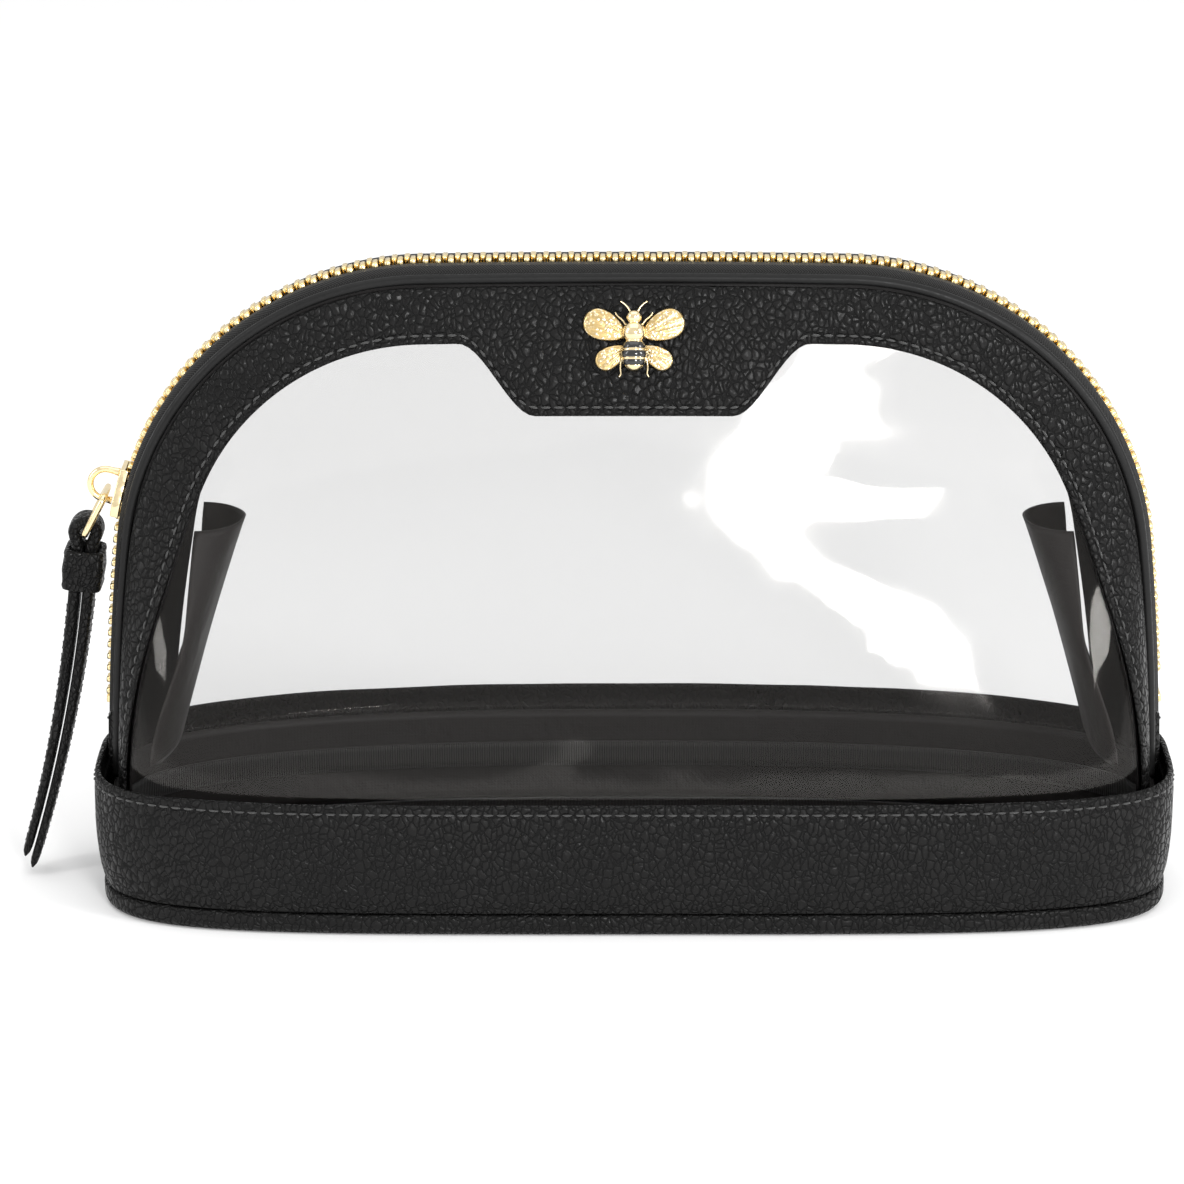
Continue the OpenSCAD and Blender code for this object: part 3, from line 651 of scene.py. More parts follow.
def stitchRow(name, path, out, pitch, length, width, body="bag", lift=0.0):
    # short threads that dip into the leather at both ends
    pts, along, share = evenAlong(path, pitch)
    run = np.linspace(0, 1, len(out))
    normal = atRuns(share, run, np.asarray(out))
    normal /= np.linalg.norm(normal, axis=1, keepdims=True)
    points, faces = [], []
    sides, rings = 6, 5
    s = np.linspace(-0.5, 0.5, rings)
    for p, d, n in zip(pts, along, normal):
        rise = lift + width * 0.25 - width * 1.2 * (2 * s ** 2)
        path = p + d * (s * length)[:, None] + n * rise[:, None]
        radius = width / 2 * np.sqrt(np.maximum(0.15, 1 - (2 * s) ** 2))
        ring = tubePoints(path, radius, sides, n)
        faces += ringFaces(rings, sides, False, len(points) * sides * rings)
        points.append(ring)
    return makePiece(name, np.array(points), faces, threadBlack, body, ())


def buildBase():
    count = basePieces["points"]
    inset, skin, top = basePieces["rimInset"], basePieces["skin"], rimTop
    # the turned-up panel: flat underside, round foot, rim that rolls in under the band
    flatReach = basePieces["flatReach"]
    rows = [(inset + flatReach * (1 - k / 6), 0.0) for k in range(6)]
    rows += [(inset + 3.0, 0.0)]
    rows += roundCorner((inset + 2.2, 2.2), 2.2, 270, 360, 7)
    rows += [(inset, 3.2)] + roundCorner((inset + 0.8, top - 0.8), 0.8, 0, 90, 5)
    rows += [(inset + skin, top - 0.25), (inset + skin + 0.1, skin + 0.6)]
    rows += [(inset + skin + 0.8, skin)] + [(inset + flatReach * (k + 1) / 6, skin) for k in range(6)]
    rows = [(min(i, bandHigh[1] - 2.0), z) for i, z in rows]
    grid = wallGrid(rows, count)
    onRim = np.array([1.0 if 0.2 < row[1] < top else 0.0 for row in rows])
    wave = lumps(grid, 26, 3.1) * basePieces["rimLumps"] * onRim
    grid[..., :2] *= 1 - wave[..., None] / flatReach
    makeLoft("base_panel_leather", grid, pebbled, "bag", ("base_panel",), True)

    # the band bulges over its padding and is turned over at the top
    low, high, thick = bandLow[2], bandHigh[2], basePieces["bandThick"]
    rows = roundCorner((2.4, low + 0.7), 0.7, 300, 360, 5)
    rows += [(1.25, low + 2.0), (0.75, low + 4.2), (0.35, low + 7.5), (0.1, low + 11.0), (0.0, low + 14.8),
             (0.0, high - 4.4), (0.12, high - 2.9), (0.26, high - 2.1), (0.16, high - 1.3)]
    rows += roundCorner((0.95, high - 0.75), 0.75, 0, 180, 9)
    rows += [(thick, high - 1.2), (thick, high - 4), (thick + 0.1, low + 10), (thick + 0.7, low + 5),
             (thick + 1.5, low + 0.8)]
    grid = wallGrid(rows, count)
    outer = np.array([1.0 if i < 1.4 and z > low + 1 else 0.0 for i, z in rows])
    wave = lumps(grid, 30, 7.7) * basePieces["bandLumps"] * outer
    away = grid[..., :2].copy()
    grid[..., :2] -= away / np.linalg.norm(away, axis=2, keepdims=True) * np.abs(wave)[..., None]
    edge = (np.array([row[1] for row in rows]) > high - 2.4)[None, :]
    grid[..., 2] += np.where(edge, lumps(grid * np.array([1, 1, 0]), 18, 1.3) * 0.16 - 0.1, 0.0)
    makeLoft("base_band_leather", grid, pebbled, "bag", ("base_band",), True)
    ring = wallGrid([(0.22, high - basePieces["stitchDrop"])], count)[:, 0]
    ring = np.concatenate([ring, ring[:1]])
    flat = ring * np.array([1, 1, 0])
    stitchRow("band_stitching", ring, flat, basePieces["stitchPitch"], 2.1, 0.5)


buildBase()
print("base made")

# linings
liningPieces = {
    "thick": 0.5,
    "wrinkle": 0.35,
    "wallLow": boxOf("band_lining")[0][2],
    "wallHigh": boxOf("band_lining")[1][2],
    "bindingLow": boxOf("seam_binding")[0][2],
    "bindingHigh": boxOf("seam_binding")[1][2],
}


def clothWall(name, low, high, inset, rows, wrinkle, material, node):
    count, thick = 300, liningPieces["thick"]
    levels = np.linspace(low, high, rows)
    grid = wallGrid([(inset, z) for z in levels], count)
    fold = np.abs(lumps(grid * np.array([1, 1, 2.2]), 16, 4.4)) * wrinkle
    fold *= np.sin(np.linspace(0.15, np.pi - 0.15, rows))[None, :]
    away = grid * np.array([1, 1, 0])
    away /= np.linalg.norm(away, axis=2, keepdims=True)
    outer = grid - away * fold[..., None]
    inner = outer - away * thick
    lie = wallLie(grid)
    section = np.concatenate([outer, inner[:, ::-1]], axis=1)
    sectionLie = np.concatenate([lie, lie[:, ::-1]], axis=1)
    piece = makeLoft(name, section, material, "bag", (node,), True, sectionLie)
    around = float(np.linalg.norm(np.diff(grid[:, 0], axis=0, append=grid[:1, 0]), axis=1).sum())
    return piece


def buildLinings():
    wallInset = bandHigh[0] - boxOf("band_lining")[1][0]
    clothWall("wall_lining", liningPieces["wallLow"], liningPieces["wallHigh"], wallInset, 12,
              liningPieces["wrinkle"], lining, "band_lining")
    bindInset = bandHigh[0] - boxOf("seam_binding")[1][0]
    clothWall("ribbed_binding", liningPieces["bindingLow"], liningPieces["bindingHigh"], bindInset + 0.35,
              5, 0.0, ribbed, "seam_binding")

    # the floor cloth, with a few soft ripples
    high = boxOf("floor_lining")[1]
    count, rings = 180, 26
    edge = outline(high[0], high[1], count)
    shares = np.linspace(0.02, 1, rings)
    top = np.zeros((rings, count, 3))
    top[..., :2] = edge[None] * shares[:, None, None]
    top[..., 2] = high[2] - 0.12 + lumps(top, 22, 9.0) * 0.12
    bottom = top - np.array([0, 0, 0.32])
    points = np.concatenate([top.reshape(-1, 3), bottom.reshape(-1, 3)])
    faces = gridFaces(rings, count, False, True)
    size = rings * count
    faces += [tuple(size + v for v in face[::-1]) for face in faces]
    last = (rings - 1) * count
    faces += [(last + k, last + (k + 1) % count, size + last + (k + 1) % count, size + last + k)
              for k in range(count)]
    faces += [tuple(range(count)), tuple(range(size + count - 1, size - 1, -1))]
    piece = makePiece("floor_cloth", points, faces, lining, "bag", ("floor_lining",), points)


buildLinings()
print("linings made")

# windows, frames, backing and piping
panelPieces = {
    "columns": 281,
    "frameHigh": 1.1,     # outer face of the leather above the vinyl
    "frameLow": 0.1,
    "backingHigh": -0.5,
    "backingLow": -1.2,
    "backingLead": 1.3,   # reaches under the piping, so no light shows past the frame
    "puff": 0.28,
    "stitchIn": 1.9,      # from the inner edge of the leather
    "stitchPitch": 2.75,
    "ripple": 0.22,
    "dip": 0.34,          # how deep the stitches draw the leather in
    "vinylThick": 0.36,
    "paneTuck": 0.6,      # the pane starts this far inside the panel's edge
    "cordRadius": 1.15,
    "cordInset": 2.0,
    "cordBack": 0.4,
}
columnRuns = np.linspace(0.0, fullRun, panelPieces["columns"])


def frameReach(run, width, side):
    # inset at which a strip of the wanted surface width ends
    insets = np.linspace(0, 45, 600)
    x, z = zipPoint(np.full_like(insets, run), bagCut["edgeInset"] + insets)
    return float(np.interp(width, runsOf(panelPoint(x, z, side)), insets))


def tabAt(run):
    x = np.abs(zipPoint(run)[0])
    return bagCut["tabDrop"] * smooth((bagCut["tabTop"] - x) / (bagCut["tabTop"] - bagCut["tabBottom"]))


def frameColumns(total, side, lead=0.0):
    # fine columns of points from the zip edge inwards, with their lengths
    shares = np.linspace(0, 1, 90) ** 1.7
    columns = []
    for run, inset in zip(columnRuns, total):
        x, z = zipPoint(np.full_like(shares, run), bagCut["edgeInset"] - lead + (inset + lead) * shares)
        columns.append(panelPoint(x, z, side))
    lengths = np.array([np.linalg.norm(np.diff(c, axis=0), axis=1).sum() for c in columns])
    return columns, lengths


def frameMarks(lengths):
    near = np.array([0, 0.06, 0.18, 0.36, 0.6, 1.0])
    stitch = panelPieces["stitchIn"]
    inner = np.array([stitch + 0.8, stitch + 0.35, stitch, stitch - 0.35, stitch - 0.8, 0.6, 0.36, 0.18,
                      0.06, 0.0])
    middle = np.linspace(0, 1, 12)[1:-1]
    start, end = 1.0, lengths - stitch - 0.8
    return np.concatenate([np.broadcast_to(near, (len(lengths), 6)),
                           start + (end - start)[:, None] * middle[None],
                           lengths[:, None] - inner[None]], axis=1)


def strip(total, low, high, edgeRound, puff, stitched, side, name, material, node, lead=0.0):
    columns, lengths = frameColumns(total, side, lead)
    marks = frameMarks(lengths)
    base = alongColumn(columns, marks)
    out = panelOut(base[..., 0], base[..., 2], side)
    fromEdge = np.minimum(marks, lengths[:, None] - marks)
    roundness = np.sqrt(np.clip(1 - (1 - np.clip(fromEdge / edgeRound, 0, 1)) ** 2, 0, 1))
    middle, half = (high + low) / 2, (high - low) / 2
    swell = puff * np.sin(np.pi * np.clip(marks / lengths[:, None], 0, 1)) ** 0.8
    toStitch = lengths[:, None] - marks - panelPieces["stitchIn"]
    dip = panelPieces["dip"] * np.exp(-(toStitch / 0.5) ** 2) * float(stitched)
    wave = lumps(base, 24, 5.0 + side) * puff * 0.5
    outer = middle + half * roundness + (swell - dip + wave) * roundness
    inner = middle - half * roundness
    rings = plySolid(base, out, outer, inner)
    makeLoft(name, rings, material, "bag", (node,))
    if stitched:
        row = marks.shape[1] - 8
        path = base[:, row] + out[:, row] * (outer[:, row] + 0.05)[:, None]
        stitchRow(name.replace("leather", "stitching"), path[4:-4], out[4:-4, row],
                  panelPieces["stitchPitch"], 1.95, 0.5, lift=0.06)


def pane(side, name, node):
    # a fan of columns from under the leather down to the foot of the panel
    rows = 64
    shares = np.linspace(0, 1, rows)
    footEnd = 0.965 * float(halfWidth(bagCut["panelFoot"], bagCut["edgeInset"]))
    grid = np.zeros((len(columnRuns), rows, 3))
    for i, run in enumerate(columnRuns):
        x0, z0 = zipPoint(run, bagCut["edgeInset"] + panelPieces["paneTuck"])
        x1, z1 = footEnd * (2 * run / fullRun - 1), bagCut["panelFoot"]
        grid[i] = panelPoint(mix(float(x0), x1, shares ** 1.25), mix(float(z0), z1, shares ** 1.25), side)
    out = panelOut(grid[..., 0], grid[..., 2], side)
    hold = smooth((grid[..., 2] - bandHigh[2]) / 25) * smooth((shares - 0.12) / 0.25)[None]
    hold *= smooth(np.minimum(columnRuns, fullRun - columnRuns) / 40)[:, None]
    wave = (lumps(grid, 40, 2.0 + 5 * side) + 0.45 * lumps(grid, 17, 8.0 + side)) * panelPieces["ripple"]
    high = -0.02 + hold * (wave - panelPieces["ripple"] * 0.5)
    rings = plySolid(grid, out, high, high - panelPieces["vinylThick"])
    makeLoft(name, rings, vinyl, "bag", (node,))


def pipingCord(side, name, node):
    x, z = zipPoint(np.linspace(0, fullRun, 420), panelPieces["cordInset"])
    y = np.full_like(x, -side * (bagCut["zipHalf"] - panelPieces["cordBack"]))
    path = np.stack([x, y, z], axis=-1)
    path[:, 1] += lumps(path, 30, 1.0 + side) * 0.12
    ring = tubePoints(path, panelPieces["cordRadius"] * (1 + 0.03 * lumps(path, 5, 2.0)), 14)
    makeLoft(name, ring, pipingLeather, "bag", (node,))


def buildPanels():
    high, low = panelPieces["frameHigh"], panelPieces["frameLow"]
    backHigh, backLow = panelPieces["backingHigh"], panelPieces["backingLow"]
    for side, word in ((1, "front"), (-1, "rear")):
        total = np.array([frameReach(run, bagCut["frameWidth"], side) for run in columnRuns])
        if side > 0:
            total = total + tabAt(columnRuns)
        strip(total, low, high, 0.75, panelPieces["puff"], True, side, word + "_frame_leather", pebbled,
              word + "_frame")
        strip(total, backLow, backHigh, 0.3, 0.0, False, side, word + "_backing_strip", backingLeather,
              word + "_backing", panelPieces["backingLead"])
        pane(side, word + "_vinyl", word + "_window")
        pipingCord(side, word + "_piping_cord", word + "_piping")


buildPanels()
print("panels made")

# zip
zipPieces = {
    "pitch": 2.8,
    "toothHeight": 2.5,
    "toothLength": 3.7,
    "mesh": 0.7,
    "rowParting": 1.8,
    "rowRest": 0.9,
    "sliderAngle": 14.5,
    "sliderLength": 10.8,
    "tapeFoot": 41.3,
    "tapeThick": 0.6,
    "tapeFlat": 5.9,
    "tapeDrop": 1.8,      # how far the tape's outer edge turns down
    "cordClear": 0.1,
    "toothStart": 4.0,    # above the start of the tape
    "tabHalf": 7.7,
    "tabThick": 1.0,
}
sliderRun = zipRuns["side"] + shoulderRadius * math.radians(zipPieces["sliderAngle"] - bagCut["sideLean"])
tapeStart = (zipPieces["tapeFoot"] - bagCut["panelFoot"]) / math.cos(
    math.radians((bagCut["sideLean"] + bagCut["footLean"]) / 2))
rowEdge = zipPieces["toothLength"] - zipPieces["mesh"]


def parting(run):
    # how far each row stands off the middle below the slider
    run = np.asarray(run, float)
    below = sliderRun - run
    mouth = zipPieces["rowParting"] * smooth((below + 1.5) / 3.5)
    far = smooth((below - zipPieces["sliderLength"]) / (sliderRun - tapeStart - zipPieces["sliderLength"]))
    return np.where(run > halfRun, 0.0, np.where(mouth > 0, mix(mouth, zipPieces["rowRest"], far), mouth))


def toothShape():
    # outline of one tooth across the zip: a clamp, a waist and a rounded head
    half, length, meshed = (zipPieces["pitch"] / 2 - 0.15) / 2, zipPieces["toothLength"], zipPieces["mesh"]
    tip = -meshed
    right = np.array([(half, tip + length), (half, tip + 1.9), (half * 0.72, tip + 1.5),
                      (half * 0.95, tip + 1.0), (half * 0.98, tip + 0.5), (half * 0.62, tip + 0.1),
                      (0.0, tip)])
    left = right[-2::-1] * np.array([-1, 1])
    plan = np.concatenate([right, left])
    top = zipPieces["toothHeight"] / 2
    levels = [(-top, 0.72), (-top + 0.18, 0.93), (-top + 0.5, 1.0), (top - 0.5, 1.0), (top - 0.18, 0.93),
              (top, 0.72)]
    centre = np.array([0.0, tip + length / 2])
    rings = []
    for z, share in levels:
        ring = centre + (plan - centre) * np.array([share, 0.5 + share / 2])
        rings.append(np.concatenate([ring, np.full((len(plan), 1), z)], axis=1))
    return np.array(rings)


def toothRow(side, shift, name, node):
    shape = toothShape()
    rings, loop = shape.shape[:2]
    start = tapeStart + zipPieces["toothStart"]
    count = int((fullRun - 2 * start) // zipPieces["pitch"])
    runs = start + (np.arange(count) + shift) * zipPieces["pitch"]
    centre, along, out = zipFrame(runs)
    points, faces = [], []
    for k in range(count):
        y = side * (shape[..., 1] + parting(runs[k]))
        points.append(centre[k] + shape[..., :1] * along[k] + shape[..., 2:] * out[k]
                      + y[..., None] * np.array([0, 1, 0]))
        faces += ringFaces(rings, loop, False, k * rings * loop)
    makePiece(name, np.array(points), faces, zipGold, "bag", (node,))


def tapePiece(side, name, node):
    runs = np.concatenate([np.linspace(tapeStart, sliderRun + 8, 60),
                           np.linspace(sliderRun + 9, fullRun - tapeStart, 260)])
    t = zipPieces["tapeThick"] / 2
    edgeY = (bagCut["zipHalf"] - panelPieces["cordBack"] - panelPieces["cordRadius"]
             - zipPieces["cordClear"])
    inner = rowEdge + 0.3 + parting(runs)
    across = np.linspace(0, 1, 6)
    y = np.concatenate([mix(inner[:, None], zipPieces["tapeFlat"], across[None, :]),
                        np.full((len(runs), 1), mix(zipPieces["tapeFlat"], edgeY, 0.5)),
                        np.full((len(runs), 1), edgeY)], axis=1)
    drop = np.concatenate([np.zeros(6), [0.75, zipPieces["tapeDrop"]]])
    top, low = [], []
    for j in range(len(drop)):
        for rows, shift in ((top, -t), (low, t)):
            x, z = zipPoint(runs, drop[j] + shift)
            rows.append(np.stack([x, side * y[:, j], z], axis=-1))
    top, low = np.stack(top, axis=1), np.stack(low, axis=1)
    section = np.concatenate([top, low[:, ::-1]], axis=1)
    lie = np.zeros_like(top)
    lie[..., 0] = runs[:, None]
    lie[..., 1] = np.cumsum(np.linalg.norm(np.diff(top, axis=1, prepend=top[:, :1]), axis=2), axis=1)
    makeLoft(name, section, tapeCloth, "bag", (node,),
             lie=np.concatenate([lie, lie[:, ::-1]], axis=1))


def roundedCopy(node, name, material, body, width):
    # the CAD solid with its edges broken
    source = frame["nodes"][node]
    piece = bpy.data.objects.new(name, source.data.copy())
    bpy.context.scene.collection.objects.link(piece)
    work = bmesh.new()
    work.from_mesh(piece.data)
    bmesh.ops.remove_doubles(work, verts=work.verts, dist=1e-6)
    bmesh.ops.dissolve_limit(work, angle_limit=math.radians(1.5), verts=work.verts, edges=work.edges)
    work.to_mesh(piece.data)
    work.free()
    bevel = piece.modifiers.new("edges", "BEVEL")
    bevel.width = width / metre
    bevel.segments = 3
    bevel.limit_method = "ANGLE"
    bevel.angle_limit = math.radians(35)
    piece.data.shade_smooth()
    bpy.context.view_layer.update()
    solid = bpy.data.meshes.new_from_object(piece.evaluated_get(bpy.context.evaluated_depsgraph_get()))
    piece.modifiers.clear()
    piece.data = solid
    finishPiece(piece, material, body, (node,))


def sideTab(sign, name, node):
    # a soft leather tab over the end of the zip, stitched near its upper end
    half, thick = zipPieces["tabHalf"], zipPieces["tabThick"]
    runs = np.linspace(0.6, tapeStart - 0.4, 18)
    if sign > 0:
        runs = fullRun - runs
    across = np.linspace(-1, 1, 21)
    out = zipFrame(runs)[2]
    y = across * half
    turned = (np.abs(y) - zipPieces["tapeFlat"]) / (half - zipPieces["tapeFlat"])
    droop = zipPieces["tapeDrop"] * smooth(turned)
    x0, z0 = zipPoint(runs[:, None], droop[None])
    base = np.zeros((len(runs), len(across), 3))
    base[..., 0], base[..., 2] = x0, z0
    base[..., 1] = y[None]
    gap = np.minimum(np.abs(runs - runs[0]), np.abs(runs - runs[-1]))[:, None]
    edge = np.minimum(gap, (1 - np.abs(across))[None] * half)
    roundness = np.sqrt(np.clip(1 - (1 - np.clip(edge / 0.6, 0, 1)) ** 2, 0, 1))
    high = roundness * thick / 2 + 0.15 * np.sin(np.pi * (across + 1) / 2)[None] * roundness
    low = -roundness * thick / 2
    rings = plySolid(base, np.broadcast_to(out[:, None], base.shape), high, low)
    makeLoft(name, rings, pebbled, "bag", (node,))
    row = base[-3] + out[-3] * (thick / 2 + 0.12)
    stitchRow(name + "_stitching", row[2:-2], np.broadcast_to(out[-3], row[2:-2].shape), 2.4, 1.8, 0.45)


def buildZip():
    toothRow(-1, 0.0, "teeth_front", "zip_teeth_front")
    toothRow(1, 0.5, "teeth_rear", "zip_teeth_rear")
    tapePiece(-1, "tape_front", "zip_tape_front")
    tapePiece(1, "tape_rear", "zip_tape_rear")
    roundedCopy("zip_top_stops", "top_stops", zipGold, "bag", 0.35)
    roundedCopy("zip_bottom_stop", "bottom_stop", zipGold, "bag", 0.4)
    sideTab(-1, "end_tab_left", "side_tab_left")
    sideTab(1, "end_tab_right", "side_tab_right")


buildZip()
print("zip made")

# slider, link and pull
pullPieces = {
    "bailWire": 1.5,
    "bailRadius": 3.5,
    "bailLeg": 2.4,
    "linkWire": 1.6,
    "strapWidth": 8.0,
    "strapThick": 2.8,
    "strapTip": 1.9,
    "strapLean": 5.0,
    "strapCurve": 13.0,
    "keeperHeight": 9.4,
    "keeperThick": 1.6,
    "keeperDrop": 8.6,
    "shellHigh": 2.6,      # the slider's outer face above the zip line
    "linkBend": 1.6,
    "linkClear": 0.3,
    "strapStep": 2.2,      # the right leg ends this much sooner
    "rowHalf": 2.9,        # the stitches from the middle of the strap
    "keeperSquare": 0.34,
}
strapLength = 82.0


def sliderAxes():
    a = math.radians(zipPieces["sliderAngle"])
    out = np.array([-math.cos(a), 0, math.sin(a)])
    up = np.array([math.sin(a), 0, math.cos(a)])
    return shoulderCentre, up, out


def bailPiece():
    centre, up, out = sliderAxes()
    base = shoulderRadius + pullPieces["shellHigh"]
    leg, r = pullPieces["bailLeg"], pullPieces["bailRadius"]
    a = np.linspace(0, np.pi, 41)
    arcPart = [(r * math.cos(t), base + leg + r * math.sin(t)) for t in a]
    legs = np.linspace(0, 1, 9)[:-1]
    plan = np.array([(r, base + leg * t) for t in legs] + arcPart
                    + [(-r, base + leg * (1 - t)) for t in legs])
    path = centre + plan[:, :1] * up + plan[:, 1:] * out
    rise = np.minimum(1, (plan[:, 1] - base) / 1.4)
    radius = pullPieces["bailWire"] / 2 * (1 + 0.28 * (1 - smooth(rise)))
    makeLoft("bail_wire", tubePoints(path, radius, 24), paleGold, "slider", ("slider_bail",))


def linkPiece():
    down = linkFoot - linkTop
    length = np.linalg.norm(down)
    down = down / length
    r, bend = pullPieces["linkWire"] / 2, pullPieces["linkBend"]
    half = pullPieces["strapWidth"] / 2 + pullPieces["linkClear"] + r
    corners = [(half - bend, length / 2 - bend, 0), (-half + bend, length / 2 - bend, 90),
               (-half + bend, -length / 2 + bend, 180), (half - bend, -length / 2 + bend, 270)]
    path = []
    for cy, cd, start in corners:
        for t in np.radians(np.linspace(start, start + 90, 14)):
            path.append((cy + bend * math.cos(t), cd + bend * math.sin(t)))
    path = np.array(path)
    middle = (linkTop + linkFoot) / 2
    points = middle + path[:, :1] * np.array([0, 1, 0]) - path[:, 1:] * down
    side = np.cross(down, [0, 1, 0])
    looped = np.concatenate([points[-1:], points, points[:1]])
    along = looped[2:] - looped[:-2]
    along /= np.linalg.norm(along, axis=1, keepdims=True)
    one = np.broadcast_to(side, along.shape)
    two = np.cross(along, one)
    a = np.linspace(0, 2 * np.pi, 24, endpoint=False)
    ring = points[:, None] + r * (np.cos(a)[None, :, None] * one[:, None]
                                  + np.sin(a)[None, :, None] * two[:, None])
    makeLoft("link_wire", ring, paleGold, "link", ("pull_link",), True)


def strapAt(u, off):
    radius = strapLength / math.radians(pullPieces["strapCurve"])
    lean = math.radians(pullPieces["strapLean"])
    a = lean + math.radians(pullPieces["strapCurve"]) * u / strapLength
    x = linkFoot[0] - radius * (math.cos(lean) - np.cos(a)) + off * np.cos(a)
    z = linkFoot[2] - radius * (np.sin(a) - math.sin(lean)) - off * np.sin(a)
    return np.stack([x, np.zeros_like(x), z], axis=-1)


loopInner = pullPieces["linkWire"] / 2 + 0.35
mergeAt = pullPieces["keeperDrop"] - pullPieces["keeperHeight"] / 2 - 1


def innerOff(u):
    return mix(loopInner, 0.2, smooth(u / mergeAt))


def legThick(u):
    return mix(pullPieces["strapThick"], pullPieces["strapTip"], smooth(u / strapLength))


def strapPiece():
    # one strip of leather: up the left leg, round the link and down the right leg
    leftU = np.linspace(strapLength, 0, 90)
    rightU = np.linspace(0, strapLength - pullPieces["strapStep"], 90)
    left = strapAt(leftU, innerOff(leftU) + legThick(leftU) / 2)
    right = strapAt(rightU, -innerOff(rightU) - legThick(rightU) / 2)
    r = loopInner + pullPieces["strapThick"] / 2
    lean = math.radians(pullPieces["strapLean"])
    a = np.linspace(0, np.pi, 26)[1:-1] - lean
    loop = np.stack([linkFoot[0] + r * np.cos(a), np.zeros_like(a), linkFoot[2] + r * np.sin(a)], axis=-1)
    path = np.concatenate([left, loop, right])
    thick = np.concatenate([legThick(leftU), np.full(len(a), pullPieces["strapThick"]), legThick(rightU)])
    along = np.gradient(path, axis=0)
    along /= np.linalg.norm(along, axis=1, keepdims=True)
    out = np.cross([0, 1, 0], along)
    sides = 28
    t = np.linspace(0, 2 * np.pi, sides, endpoint=False) + np.pi / sides
    wide = pullPieces["strapWidth"] / 2
    yShape = np.sign(np.cos(t)) * np.abs(np.cos(t)) ** 0.42
    nShape = np.sign(np.sin(t)) * np.abs(np.sin(t)) ** 0.62
    end = np.minimum(np.arange(len(path)), np.arange(len(path))[::-1])
    taper = np.sqrt(np.clip(1 - (1 - np.clip(end / 2.0, 0, 1)) ** 2, 0.12, 1))
    widths = (wide - 0.05) * (0.93 + 0.07 * taper)
    ring = (path[:, None] + nShape[None, :, None] * (thick / 2 * taper)[:, None, None] * out[:, None]
            + (yShape[None, :] * widths[:, None])[..., None] * np.array([0, 1, 0]))
    makeLoft("pull_leather_strap", ring, pullLeather, "pull", ("pull_strap",))


def strapStitches():
    # two short rows down the outer faces, near their sides
    for sign, end in ((1, strapLength - 3), (-1, strapLength - 3 - pullPieces["strapStep"])):
        for y in (-pullPieces["rowHalf"], pullPieces["rowHalf"]):
            u = np.linspace(pullPieces["keeperDrop"] + 8, end, 60)
            path = strapAt(u, sign * (innerOff(u) + legThick(u) * 0.985))
            path[:, 1] = y
            ahead = np.gradient(path, axis=0)
            out = sign * np.cross(ahead, [0, 1, 0]) * -1.0
            word = "left" if sign > 0 else "right"
            row = "near" if y < 0 else "far"
            stitchRow("strap_stitching_" + word + "_" + row, path, out, 2.9, 2.0, 0.4,
                      "pull", 0.02)


def keeperPiece():
    # a short drum of leather with a rolled rim at both ends
    drop, height = pullPieces["keeperDrop"], pullPieces["keeperHeight"]
    u = drop - height / 2
    holeX = 2 * float(innerOff(u) + legThick(u)) + 0.3
    holeY = pullPieces["strapWidth"] + 0.3
    centre = strapAt(np.array([drop]), np.array([0.0]))[0]
    a = math.radians(pullPieces["strapLean"] + pullPieces["strapCurve"] * drop / strapLength)
    across = np.array([math.cos(a), 0, -math.sin(a)])
    down = np.array([-math.sin(a), 0, -math.cos(a)])
    thick = pullPieces["keeperThick"]
    half = height / 2
    wall = [(-half + 0.5, 0.0), (-half, 0.35), (-half, 0.8), (-half + 0.25, 1.25), (-half + 0.9, 1.42),
            (-half + 1.6, 1.3), (-half + 2.2, 1.36), (0.0, thick), (half - 2.2, 1.36), (half - 1.6, 1.3),
            (half - 0.9, 1.42), (half - 0.25, 1.25), (half, 0.8), (half, 0.35), (half - 0.5, 0.0)]
    count = 96
    t = np.linspace(0, 2 * np.pi, count, endpoint=False)
    square = pullPieces["keeperSquare"]
    rings = []
    for i in range(count):
        cx = math.copysign(abs(math.cos(t[i])) ** square, math.cos(t[i]))
        cy = math.copysign(abs(math.sin(t[i])) ** square, math.sin(t[i]))
        rings.append([centre + across * cx * (holeX / 2 + w) + np.array([0, 1, 0]) * cy * (holeY / 2 + w)
                      + down * h for h, w in wall])
    makeLoft("keeper_drum", np.array(rings), pullLeather, "pull", ("pull_keeper",), True)


roundedCopy("slider_body", "slider_shell", paleGold, "slider", 0.28)
bailPiece()
linkPiece()
strapPiece()
strapStitches()
keeperPiece()
print("slider and pull made")

# inner gussets
gussetPieces = {
    "top": boxOf("gusset_left")[1][2],
    "foot": boxOf("gusset_left")[0][2],
    "thick": 0.5,
    "foldInTop": 24.0,
    "foldInFoot": 12.5,
    "seatInTop": 13.0,
    "seatInFoot": 6.0,
    "seatDepth": 2.2,
}


def gussetPoint(z, t, off, side):
    w = (z - gussetPieces["foot"]) / (gussetPieces["top"] - gussetPieces["foot"])
    wide = halfWidth(z, bagCut["edgeInset"])
    x = wide - mix(gussetPieces["seatInFoot"], gussetPieces["seatInTop"], smooth(w * 1.6))
    out = panelOut(x, z, side)
    level = 1 - out[..., 2] ** 2
    seatX = x - gussetPieces["seatDepth"] * out[..., 0] / level
    seatY = panelDepth(x, z, side) - gussetPieces["seatDepth"] * np.abs(out[..., 1]) / level
    foldX = wide - mix(gussetPieces["foldInFoot"], gussetPieces["foldInTop"], w) + off
    across = mix(seatX, foldX, np.sin(np.radians(90 * t)) ** 0.8)
    return across, -side * (seatY - off) * (1 - t ** 1.4)


